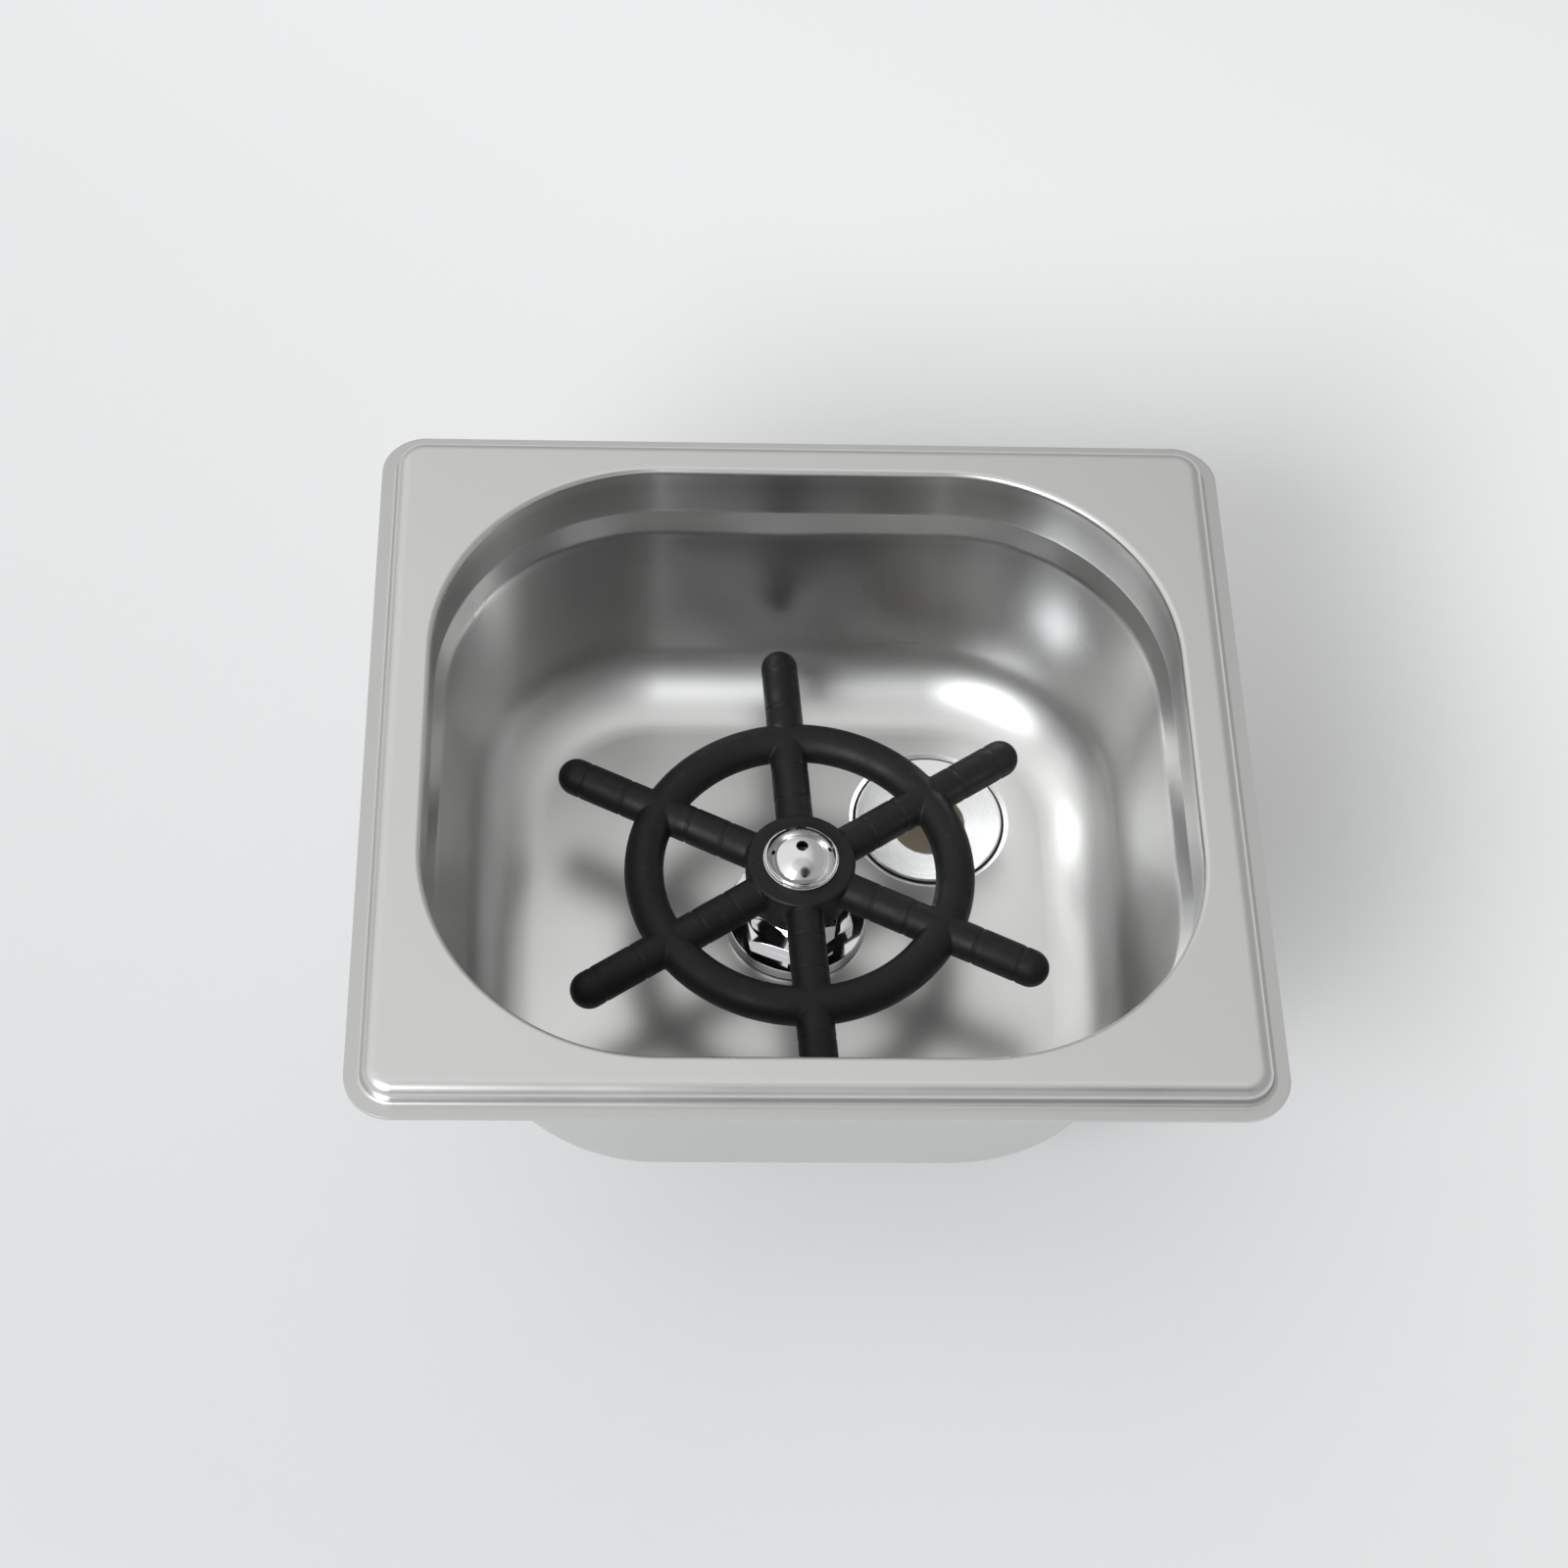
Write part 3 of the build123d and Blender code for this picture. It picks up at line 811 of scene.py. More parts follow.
def ring(name: str, radii: Point, heights: Point, edge: float, centre: Point, segments: int = 128) -> Piece:
    """Turns a flat ring.

    Args:
        name: The new object's name.
        radii: Radius of the bore and of the outside.
        heights: Height of the underside and of the top.
        edge: Width of the bevels.
        centre: The axis, X and Y.
        segments: Faces round it.

    Returns:
        The ring.
    """
    (bore, radius), (low, high) = radii, heights
    profile = [(bore, low), (radius, low), (radius, high), (bore, high)]
    return Bench.soften(turned(name, profile, centre, segments), edge)


# Sub-assemblies


class SubAssembly:
    """A group of pieces that is built, dressed and fixed to the frame."""

    def fit(self, obj: Piece, finish: Finish, *nodes: str, body: Body = Body.SINK) -> Piece:
        """Dresses a piece, fixes it to its body and hides the CAD nodes that it stands for.

        Args:
            obj: The finished piece.
            finish: The finish that it wears.
            nodes: The CAD nodes that it replaces.
            body: The body that it moves with.

        Returns:
            The piece.
        """
        obj.data.materials.clear()
        obj.data.materials.append(material_of(finish))
        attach(obj, body.value)
        if nodes:
            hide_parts(*nodes)
        LOG.info("%s: %d faces on %s", obj.name, len(obj.data.polygons), body.value)
        return obj

    def keep(self, finish: Finish, *nodes: str) -> None:
        """Gives the CAD nodes that stay their finish.

        Args:
            finish: The finish that they wear.
            nodes: Their names.
        """
        for node in nodes:
            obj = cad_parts[node]
            obj.data.materials.clear()
            obj.data.materials.append(material_of(finish))
            LOG.info("%s: kept from the frame", node)

    def dress(self) -> None:
        """Builds the pieces and fixes them in place of the CAD ones."""
        raise NotImplementedError


@dataclass
class Pan(SubAssembly):
    """The pressed pan: lip, raised rim, collar, shoulder, walls, floor and drain recess."""

    sheet: float = 0.8
    lip_length: float = 176.0
    lip_width: float = 162.0
    lip_corner: float = 9.2
    lip_band: float = 3.3
    lip_foot_bend: float = 0.9
    rim_top: float = 4.8
    rim_bend: float = 2.8
    rim_steps: int = 10
    side_shelf: float = 9.1
    end_shelf: float = 8.05
    opening_corner: float = 46.0
    opening_bend: float = 1.2
    ledge: float = -8.5
    ledge_bend: float = 0.35
    shoulder: float = -13.5
    shoulder_step: float = 1.8
    shoulder_bend: float = 8.0
    wall_angle: float = 8.0
    floor_bend: float = 15.0
    bowl_steps: int = 14
    recess_radius: float = 16.4
    recess_depth: float = 2.6
    recess_bend: float = 1.1
    recess_lip_inset: float = 0.05
    recess_lip_bend: float = 0.35
    recess_slope_inset: float = 0.08
    recess_slope_drop: float = 0.6
    recess_slope_bend: float = 0.4
    recess_foot_bend: float = 0.2
    recess_steps: int = 6
    hole_faces: int = 96
    recess_faces: int = 128
    support: float = 0.35
    corner_steps: int = 36
    edge: float = 0.12
    edge_angle: float = 50.0

    def outline(self, length: float, width: float, corner: float, height: float) -> Piece:
        """Adds a flat plate with rounded corners.

        Args:
            length: Size along X.
            width: Size along Y.
            corner: Radius of the corners.
            height: Height of the plate.

        Returns:
            The plate, in edit mode with its face selected.
        """
        Bench.clear()
        bpy.ops.mesh.primitive_plane_add(size=1, location=(0, 0, height * MM))
        plate = bpy.context.object
        plate.scale = (length * MM, width * MM, 1)
        Bench.edit(Bench.settle(plate), "VERT", "SELECT")
        corners = {"affect": "VERTICES", "offset_type": "OFFSET", "profile": 0.5}
        bpy.ops.mesh.bevel(offset=corner * MM, segments=self.corner_steps, **corners)
        bpy.ops.mesh.select_mode(type="FACE")
        bpy.ops.mesh.select_all(action="SELECT")
        return plate

    def press(self, path: list[Point]) -> None:
        """Presses the selected face along a path of insets, and opens what is left of it.

        Args:
            path: (distance inwards, height) of each line of the sheet, from the plate's edge.
        """
        for (inwards, height), (next_inwards, next_height) in zip(path, path[1:]):
            rise = (next_height - height) * MM
            pull = (next_inwards - inwards) * MM
            if pull > SAME * MM:
                bpy.ops.mesh.inset(thickness=pull, depth=rise, use_even_offset=True)
            else:
                bpy.ops.mesh.extrude_region_move(TRANSFORM_OT_translate={"value": (0, 0, rise)})
        bpy.ops.mesh.delete(type="FACE")
        Bench.leave()

    def rim_skin(self) -> Piece:
        """Makes the lip and the raised rim, up to the edge of the flat top."""
        plate = self.outline(self.lip_length, self.lip_width, self.lip_corner, self.sheet)
        band, bend = self.lip_band, self.rim_bend
        corners = [
            (0, self.sheet, 0),
            (band, self.sheet, self.lip_foot_bend),
            (band, self.rim_top, bend),
            (band + bend + self.support, self.rim_top, 0),
        ]
        path = rounded_path(corners, self.rim_steps)
        self.press([(0, self.sheet), (self.support, self.sheet)] + path[1:])
        return plate

    def bowl_skin(self) -> Piece:
        """Makes the bowl, from the flat top down to the flat of the floor."""
        margin = self.opening_bend + self.support
        length = self.lip_length - 2 * (self.lip_band + self.side_shelf)
        width = self.lip_width - 2 * (self.lip_band + self.end_shelf)
        corner = self.opening_corner + margin
        plate = self.outline(length + 2 * margin, width + 2 * margin, corner, self.rim_top)
        slope = math.tan(math.radians(self.wall_angle))
        shoulder_at = margin + self.shoulder_step
        floor_at = shoulder_at + (self.shoulder - FLOOR) * slope
        run = self.floor_bend * math.tan(math.radians((90 - self.wall_angle) / 2))
        corners = [
            (0, self.rim_top, 0),
            (margin, self.rim_top, self.opening_bend),
            (margin, self.ledge, self.ledge_bend),
            (shoulder_at, self.shoulder, self.shoulder_bend),
            (floor_at, FLOOR, self.floor_bend),
            (floor_at + run + self.support, FLOOR, 0),
        ]
        self.press(rounded_path(corners, self.bowl_steps))
        return plate

    def floor_plate(self, skin: Piece) -> None:
        """Fills the floor round the rinser's hole and sinks the drain's recess.

        Args:
            skin: The skin of the pan, in object mode.
        """
        outer = self.recess_radius + self.recess_bend
        reach = outer + self.support
        drain = (DRAIN_AXIS[0] * MM, DRAIN_AXIS[1] * MM, FLOOR * MM)
        Bench.edit(skin)
        rinser = (0, 0, FLOOR * MM)
        for faces, radius, place in (
            (self.hole_faces, HOLE_RADIUS, rinser),
            (self.recess_faces, reach, drain),
        ):
            bpy.ops.mesh.primitive_circle_add(vertices=faces, radius=radius * MM, location=place)
        Bench.choose(skin, lambda place: abs(place.z - FLOOR * MM) < SAME)
        bpy.ops.mesh.fill(use_beauty=True)
        Bench.choose(skin, lambda place: abs((place - Vector(drain)).length - reach * MM) < SAME)
        bottom = FLOOR - self.recess_depth
        slope_radius = self.recess_radius + self.recess_slope_inset
        corners = [
            (reach, FLOOR, 0),
            (outer - self.recess_lip_inset, FLOOR, self.recess_lip_bend),
            (slope_radius, FLOOR - self.recess_slope_drop, self.recess_slope_bend),
            (self.recess_radius, bottom, self.recess_foot_bend),
            (HOLE_RADIUS, bottom, 0),
        ]
        Bench.draw(rounded_path(corners, self.recess_steps), drain)
        Bench.leave()

    def build(self) -> Piece:
        """Builds the pan and returns it."""
        rim = self.rim_skin()
        skin = Bench.join(rim, self.bowl_skin())
        Bench.choose(skin, lambda place: abs(place.z - self.rim_top * MM) < SAME)
        bpy.ops.mesh.bridge_edge_loops()
        Bench.leave()
        self.floor_plate(skin)
        Bench.outwards(skin)
        top = max(skin.data.polygons, key=lambda face: face.center.z)
        if top.normal.z < 0:
            Bench.edit(skin, "FACE", "SELECT")
            bpy.ops.mesh.flip_normals()
            Bench.leave()
        even = {"use_even_offset": True, "use_quality_normals": True}
        Bench.modify(skin, "SOLIDIFY", thickness=self.sheet * MM, offset=-1.0, **even)
        return Bench.soften(Bench.name(skin, "pan_sheet"), self.edge, self.edge_angle)

    def dress(self) -> None:
        """Builds the pan and fixes it in place of the CAD pan."""
        self.fit(self.build(), SATIN, "basin")


@dataclass
class PressWheel(SubAssembly):
    """The moulded wheel: hub, ring and six grooved spokes in one piece."""

    plane: float = -41.1
    hub_foot: float = -47.3
    hub_radius: float = 11.45
    hub_foot_radius: float = 11.0
    hub_edge: float = 0.5
    pocket_radius: float = 6.3
    pocket_top: float = -44.3
    stem_bore: float = 4.15
    collar_bore: float = 6.75
    ring_radius: float = 32.6
    ring_section: float = 4.1
    ring_faces: tuple[int, int] = (180, 48)
    spoke_count: int = 6
    spoke_turn: float = 33.6
    spoke_root: float = 3.0
    spoke_radius: float = 3.95
    spoke_reach: float = 56.3
    spoke_faces: int = 64
    groove_places: tuple[float, ...] = (17.31, 25.3, 40.61, 50.21)
    groove_depth: float = 0.22
    groove_width: float = 0.75
    groove_shares: tuple[Point, ...] = ((-0.5, 0), (-0.25, 0.7), (0, 1), (0.25, 0.7), (0.5, 0))
    tip_steps: int = 12
    voxel: float = 0.2
    hub_margin: float = 0.3
    melt_share: float = 0.5
    arm_melts: int = 3
    hub_melts: int = 1
    kept_share: float = 0.2

    def hub(self) -> Piece:
        """Turns the hub with its stepped bore."""
        profile = [
            (self.stem_bore, self.pocket_top),
            (self.pocket_radius, self.pocket_top),
            (self.pocket_radius, self.hub_foot),
            (self.hub_foot_radius, self.hub_foot),
            (self.hub_radius, self.plane),
            (self.hub_radius, HUB_TOP - self.hub_edge),
            (self.hub_radius - self.hub_edge, HUB_TOP),
            (self.collar_bore, HUB_TOP),
            (self.collar_bore, COLLAR_FOOT),
            (self.stem_bore, COLLAR_FOOT),
        ]
        return turned("press_wheel_moulding", profile)

    def spoke(self) -> Piece:
        """Draws out one spoke along X, from a circle that faces along X."""
        thick = self.spoke_radius
        path = [(thick, self.hub_radius - self.spoke_root)]
        for place in self.groove_places:
            for across, deep in self.groove_shares:
                path.append((thick - self.groove_depth * deep, place + self.groove_width * across))
        for step in range(self.tip_steps):
            angle = math.radians(90 * step / self.tip_steps)
            path.append((thick * math.cos(angle), self.spoke_reach - thick + thick * math.sin(angle)))
        path.append((0, self.spoke_reach))
        Bench.clear()
        start = (path[0][1] * MM, 0, self.plane * MM)
        circle = {"vertices": self.spoke_faces, "fill_type": "NGON", "rotation": (0, math.pi / 2, 0)}
        bpy.ops.mesh.primitive_circle_add(radius=thick * MM, location=start, **circle)
        obj = Bench.settle(bpy.context.object)
        Bench.edit(obj, "FACE", "SELECT")
        Bench.draw(path, start, axis=0)
        Bench.leave()
        return Bench.outwards(obj)

    def build(self) -> Piece:
        """Joins hub, ring and spokes and melts their seams together."""
        parts = []
        first = self.spoke()
        for index in range(self.spoke_count):
            arm = first.copy()
            arm.data = first.data.copy()
            bpy.context.scene.collection.objects.link(arm)
            arm.rotation_euler = (0, 0, math.radians(self.spoke_turn + 360 * index / self.spoke_count))
            parts.append(Bench.settle(arm))
        bpy.data.objects.remove(first)
        Bench.clear()
        bpy.ops.mesh.primitive_torus_add(
            location=(0, 0, self.plane * MM),
            major_radius=self.ring_radius * MM,
            minor_radius=self.ring_section * MM,
            major_segments=self.ring_faces[0],
            minor_segments=self.ring_faces[1],
        )
        parts.append(Bench.settle(bpy.context.object))
        wheel = Bench.join(self.hub(), *parts)
        Bench.modify(wheel, "REMESH", mode="VOXEL", voxel_size=self.voxel * MM)
        arms = wheel.vertex_groups.new(name="arms")
        edge = (self.hub_radius + self.hub_margin) * MM
        arms.add([vert.index for vert in wheel.data.vertices if vert.co.xy.length > edge], 1.0, "REPLACE")
        melt = {"factor": self.melt_share, "iterations": self.arm_melts}
        Bench.modify(wheel, "SMOOTH", vertex_group="arms", **melt)
        Bench.modify(wheel, "SMOOTH", factor=self.melt_share, iterations=self.hub_melts)
        Bench.modify(wheel, "DECIMATE", ratio=self.kept_share)
        Bench.pick(wheel)
        bpy.ops.object.shade_smooth()
        return wheel

    def dress(self) -> None:
        """Builds the wheel and fixes it in place of the CAD wheel."""
        self.fit(self.build(), BLACK, "press_wheel", body=Body.WHEEL)


@dataclass
class Nozzle(SubAssembly):
    """The chrome collar in the hub and the domed spray head on it."""

    collar_top: float = -36.0
    collar_bore: float = 4.05
    collar_radius: float = 6.6
    collar_flange: float = 7.9
    collar_edge: float = 0.16
    socket_radius: float = 5.7
    socket_floor: float = -39.2
    brim_radius: float = 7.7
    brim_top: float = -35.5
    brim_foot_edge: float = 0.12
    brim_drop: float = 0.16
    brim_inset: float = 0.14
    dome_radius: float = 7.15
    dome_wall: float = 0.8
    dome_top: float = -31.3
    dome_foot: float = 0.1
    dome_steps: int = 22
    shell: float = 0.8
    skirt_radius: float = 5.65
    skirt_foot: float = -37.6
    centre_jet: float = 1.25
    side_jet: float = 0.5
    side_jet_faces: int = 32
    side_jet_circle: float = 5.9
    side_jet_count: int = 4
    side_jet_turn: float = 4.0
    drill_length: float = 3.0
    sharp_angle: float = 34.0
    faces: int = 160

    def collar(self) -> Piece:
        """Turns the collar."""
        profile = [
            (self.collar_bore, COLLAR_FOOT),
            (self.collar_radius, COLLAR_FOOT),
            (self.collar_radius, HUB_TOP),
            (self.collar_flange, HUB_TOP),
            (self.collar_flange, self.collar_top),
            (self.socket_radius, self.collar_top),
            (self.socket_radius, self.socket_floor),
            (self.collar_bore, self.socket_floor),
        ]
        return Bench.soften(turned("nozzle_collar_turned", profile), self.collar_edge)

    def cap_arc(self, radius: float, rise: float, inset: float) -> list[Point]:
        """Lists points on the dome, from its side up to the centre jet.

        Args:
            radius: Radius of the sphere that the dome is part of.
            rise: Height of the sphere's centre.
            inset: How far inside the dome's skin the points lie.

        Returns:
            (radius, height) of each point.
        """
        reach = radius - inset
        start = math.asin((self.dome_radius - inset) / reach)
        end = math.asin(self.centre_jet / reach)
        angles = (start + (end - start) * step / self.dome_steps for step in range(self.dome_steps + 1))
        return [(reach * math.sin(angle), rise + reach * math.cos(angle)) for angle in angles]

    def dome(self) -> Piece:
        """Turns the spray head and drills its side jets."""
        height = self.dome_top - self.brim_top - self.dome_wall
        radius = (self.dome_radius**2 + height**2) / (2 * height)
        rise = self.dome_top - radius
        skirt_bore = self.skirt_radius - self.shell
        profile = [
            (skirt_bore, self.skirt_foot),
            (self.skirt_radius, self.skirt_foot),
            (self.skirt_radius, self.collar_top),
            (self.brim_radius - self.brim_foot_edge, self.collar_top),
            (self.brim_radius, self.collar_top + self.brim_foot_edge),
            (self.brim_radius, self.brim_top - self.brim_drop),
            (self.brim_radius - self.brim_inset, self.brim_top),
            (self.dome_radius + self.dome_foot, self.brim_top),
            (self.dome_radius, self.brim_top + self.dome_foot),
            *self.cap_arc(radius, rise, 0),
            *self.cap_arc(radius, rise, self.shell)[::-1],
            (self.dome_radius - self.shell, self.brim_top),
            (skirt_bore, self.brim_top),
        ]
        piece = turned("nozzle_dome_turned", profile, segments=self.faces)
        lean = math.asin(self.side_jet_circle / radius)
        for index in range(self.side_jet_count):
            turn = math.radians(self.side_jet_turn + 360 * index / self.side_jet_count)
            away = Vector((math.sin(lean) * math.cos(turn), math.sin(lean) * math.sin(turn), math.cos(lean)))
            Bench.clear()
            bpy.ops.mesh.primitive_cylinder_add(
                vertices=self.side_jet_faces,
                radius=self.side_jet * MM,
                depth=self.drill_length * MM,
                location=Vector((0, 0, rise * MM)) + away * radius * MM,
                rotation=away.to_track_quat("Z", "Y").to_euler(),
            )
            Bench.cut(piece, "DIFFERENCE", bpy.context.object)
        return Bench.smooth(piece, self.sharp_angle)

    def dress(self) -> None:
        """Builds both pieces and fixes them in place of the CAD ones."""
        self.fit(self.collar(), CHROME, "nozzle_collar", body=Body.WHEEL)
        self.fit(self.dome(), CHROME, "nozzle_dome", body=Body.WHEEL)


@dataclass
class PipeThread:
    """A half inch pipe thread: a helical tooth on a plain core."""

    crest_radius: float = 10.46
    root_radius: float = 9.4
    pitch: float = 1.814
    crest_width: float = 0.45
    root_width: float = 1.6
    steps: int = 72
    sharp_angle: float = 25.0

    def tooth(self, name: str, low: float, high: float, centre: Point) -> Piece:
        """Winds the tooth between two heights.

        Args:
            name: The new object's name.
            low: Lowest height of the thread.
            high: Highest height of the thread.
            centre: The axis, X and Y.

        Returns:
            The tooth, as a closed mesh.
        """
        turns = math.floor((high - low - self.root_width) / self.pitch)
        middle = (self.crest_radius + self.root_radius) / 2 * MM
        start = (middle, 0, (low + self.root_width / 2) * MM)
        Bench.clear()
        bpy.ops.mesh.primitive_plane_add(size=1, location=start, rotation=(math.pi / 2, 0, 0))
        obj = bpy.context.object
        obj.scale = ((self.crest_radius - self.root_radius) * MM, self.root_width * MM, 1)
        Bench.edit(Bench.settle(obj), "VERT")
        Bench.leave()
        for vert in obj.data.vertices:
            vert.select = vert.co.x > middle
        bpy.ops.object.mode_set(mode="EDIT")
        bpy.ops.transform.resize(value=(1, 1, self.crest_width / self.root_width))
        bpy.ops.mesh.select_mode(type="FACE")
        bpy.ops.mesh.select_all(action="SELECT")
        bpy.ops.mesh.delete(type="ONLY_FACE")
        Bench.leave()
        Bench.wind(obj, self.pitch, turns, self.steps, self.sharp_angle, centre)
        return Bench.name(obj, name)


@dataclass
class HexNut:
    """A hexagon nut with its corners turned off, and its inside given from the top down."""

    width: float
    low: float
    high: float
    foot_chamfer: float
    top_chamfer: float
    inside: list[Point]
    turn: float = 0.0
    centre: Point = RINSER_AXIS
    overrun: float = 1.0
    corner_gap: float = 0.01
    crown_inset: float = 0.06
    edge: float = 0.14
    edge_angle: float = 28.0
    faces: int = 96

    def build(self, name: str) -> Piece:
        """Models the nut from a six-sided drum.

        Args:
            name: The new object's name.

        Returns:
            The nut.
        """
        flat = self.width / 2
        corner = flat / math.cos(math.pi / 6)
        Bench.clear()
        bpy.ops.mesh.primitive_cylinder_add(
            vertices=6,
            radius=corner * MM,
            depth=(self.high - self.low + self.overrun) * MM,
            location=(self.centre[0] * MM, self.centre[1] * MM, (self.high + self.low) / 2 * MM),
            rotation=(0, 0, math.radians(self.turn + 90)),
        )
        nut = Bench.settle(bpy.context.object)
        outside = [
            (corner + self.corner_gap, self.low + self.foot_chamfer),
            (corner + self.corner_gap, self.high - self.top_chamfer),
            (flat - self.crown_inset, self.high),
        ]
        if self.foot_chamfer:
            outside.insert(0, (flat - self.crown_inset, self.low))
        crown = turned("crown", outside + self.inside, self.centre, self.faces)
        Bench.cut(nut, "INTERSECT", crown)
        Bench.outwards(nut)
        return Bench.soften(Bench.name(nut, name), self.edge, self.edge_angle)


@dataclass
class RinserBase(SubAssembly):
    """What stands on the floor under the wheel: gasket, valve body and guide nut."""

    gasket_radius: float = 15.1
    gasket_top: float = -59.9
    gasket_edge: float = 0.05
    foot_radius: float = 15.25
    flange_radius: float = 14.8
    flange_top: float = -57.8
    flange_round: float = 0.3
    flange_steps: int = 6
    body_edge: float = 0.12
    faces: int = 160
    hex_width: float = 22.0
    hex_top: float = -55.2
    hex_chamfer: float = 0.6
    hex_turn: float = 40.0
    hex_sink: float = 0.02
    shank_end: float = -95.8
    seat: float = -68.0
    seat_top: float = -66.0
    seat_bore: float = 5.0
    chamber: float = 7.0
    plug_foot: float = -59.1
    plug_radius: float = 7.6
    plug_bore: float = 7.65
    plug_edge: float = 0.1
    seal_radius: float = 8.85
    seal_depth: float = 0.8
    nut_width: float = 18.0
    nut_top: float = -51.0
    nut_chamfer: float = 1.2
    nut_turn: float = 20.0
    guide_bore: float = 4.05
    groove_radius: float = 5.75
    groove_height: float = 1.8
    groove_land: float = 1.0
    thread: PipeThread = field(default_factory=PipeThread)
    thread_start: float = 0.9
    thread_stop: float = 3.0

    def gasket(self) -> Piece:
        """Turns the thin rubber ring on the floor of the pan."""
        radii, heights = (HOLE_RADIUS, self.gasket_radius), (FLOOR, self.gasket_top)
        return ring("base_gasket_turned", radii, heights, self.gasket_edge, RINSER_AXIS)

    def flange_and_shank(self) -> Piece:
        """Turns the valve body's flange, its shank and the passage through them."""
        corners = [
            (self.foot_radius, self.gasket_top, 0),
            (self.flange_radius, self.flange_top, self.flange_round),
            (self.plug_bore, self.flange_top, 0),
        ]
        profile = [
            (PIPE_BORE, self.shank_end),
            (PIPE_ROOT, self.shank_end),
            (PIPE_ROOT, self.gasket_top),
            *rounded_path(corners, self.flange_steps),
            (self.plug_bore, self.plug_foot),
            (self.chamber, self.plug_foot),
            (self.chamber, self.seat_top),
            (self.seat_bore, self.seat_top),
            (self.seat_bore, self.seat),
            (PIPE_BORE, self.seat),
        ]
        body = turned("valve_body_turned", profile, segments=self.faces)
        return Bench.soften(body, self.body_edge)

    def hexagon(self) -> Piece:
        """Models the valve body's hexagon, with the seal's seat in its top."""
        low, top = self.flange_top - self.hex_sink, self.hex_top
        bore, seat = self.plug_bore + self.hex_sink, self.hex_top - self.seal_depth
        inside = [(self.seal_radius, top), (self.seal_radius, seat), (bore, seat), (bore, low)]
        nut = HexNut(self.hex_width, low, top, 0, self.hex_chamfer, inside, self.hex_turn)
        return nut.build("valve_body_hexagon")

    def grooved_bore(self, top: float, groove: float, foot: float) -> list[Point]:
        """Lists the corners of the guide nut's bore with a seal's groove, from the top down.

        Args:
            top: Height of the bore's top.
            groove: Height of the groove's top.
            foot: Height of the bore's foot.

        Returns:
            (radius, height) of each corner.
        """
        bore, wide, low = self.guide_bore, self.groove_radius, groove - self.groove_height
        return [(bore, top), (bore, groove), (wide, groove), (wide, low), (bore, low), (bore, foot)]

    def nut_head(self) -> Piece:
        """Models the guide nut's hexagon head, with the upper groove in its bore."""
        inside = self.grooved_bore(self.nut_top, self.nut_top - self.groove_land, self.hex_top)
        nut = HexNut(self.nut_width, self.hex_top, self.nut_top, 0, self.nut_chamfer, inside, self.nut_turn)
        return nut.build("guide_nut_head")

    def nut_plug(self) -> Piece:
        """Turns the guide nut's plug, with the lower groove in its bore."""
        groove = self.plug_foot + self.groove_land + self.groove_height
        inside = self.grooved_bore(self.hex_top, groove, self.plug_foot)
        profile = [inside[-1], (self.plug_radius, self.plug_foot), (self.plug_radius, self.hex_top)]
        return Bench.soften(turned("guide_nut_plug", profile + inside[:-1]), self.plug_edge)

    def dress(self) -> None:
        """Builds the pieces and fixes them in place of the CAD ones."""
        self.fit(self.gasket(), RUBBER, "base_gasket")
        self.fit(self.flange_and_shank(), CHROME, "valve_body")
        self.fit(self.hexagon(), CHROME)
        self.fit(self.nut_head(), CHROME, "bonnet_nut")
        self.fit(self.nut_plug(), CHROME)
        low, high = self.shank_end + self.thread_start, self.gasket_top - self.thread_stop
        self.fit(self.thread.tooth("inlet_thread", low, high, RINSER_AXIS), CHROME)


@dataclass
class Drain(SubAssembly):
    """The drain: dished flange, threaded tail and the gasket round the flange."""

    fall: float = 1.7
    bore_round: Point = (0.14, 0.12)
    edge: Point = (0.4, 0.02)
    flange_radius: float = 16.05
    flange_round: float = 0.3
    flange_foot: float = -62.1
    flange_edge: float = 0.08
    faces: int = 160
    tail_end: float = -92.1
    recess: float = -62.8
    gasket_radius: float = 16.35
    gasket_edge: float = 0.1
    thread: PipeThread = field(default_factory=PipeThread)
    thread_start: float = 0.9
    thread_stop: float = 3.2

    def flange_and_tail(self) -> Piece:
        """Turns the dished flange and its tail."""
        dish = FLOOR - self.fall
        profile = [
            (PIPE_BORE, dish - self.bore_round[1]),
            (PIPE_BORE + self.bore_round[0], dish),
            (PIPE_BORE + self.edge[0], dish + self.edge[1]),
            (self.flange_radius - self.flange_round, FLOOR),
            (self.flange_radius, FLOOR - self.flange_round),
            (self.flange_radius, self.flange_foot),
            (PIPE_ROOT, self.flange_foot),
            (PIPE_ROOT, self.tail_end),
            (PIPE_BORE, self.tail_end),
        ]
        body = turned("drain_body_turned", profile, DRAIN_AXIS, self.faces)
        return Bench.soften(body, self.flange_edge)

    def gasket(self) -> Piece:
        """Turns the rubber ring under the flange."""
        radii, heights = (HOLE_RADIUS, self.gasket_radius), (self.recess, self.flange_foot)
        return ring("drain_gasket_turned", radii, heights, self.gasket_edge, DRAIN_AXIS)

    def dress(self) -> None:
        """Builds the pieces and fixes them in place of the CAD ones."""
        self.fit(self.flange_and_tail(), DRAIN_STEEL, "drain_body")
        self.fit(self.gasket(), RUBBER, "drain_gasket")
        low, high = self.tail_end + self.thread_start, self.flange_foot - self.thread_stop
        self.fit(self.thread.tooth("drain_thread", low, high, DRAIN_AXIS), DRAIN_STEEL)


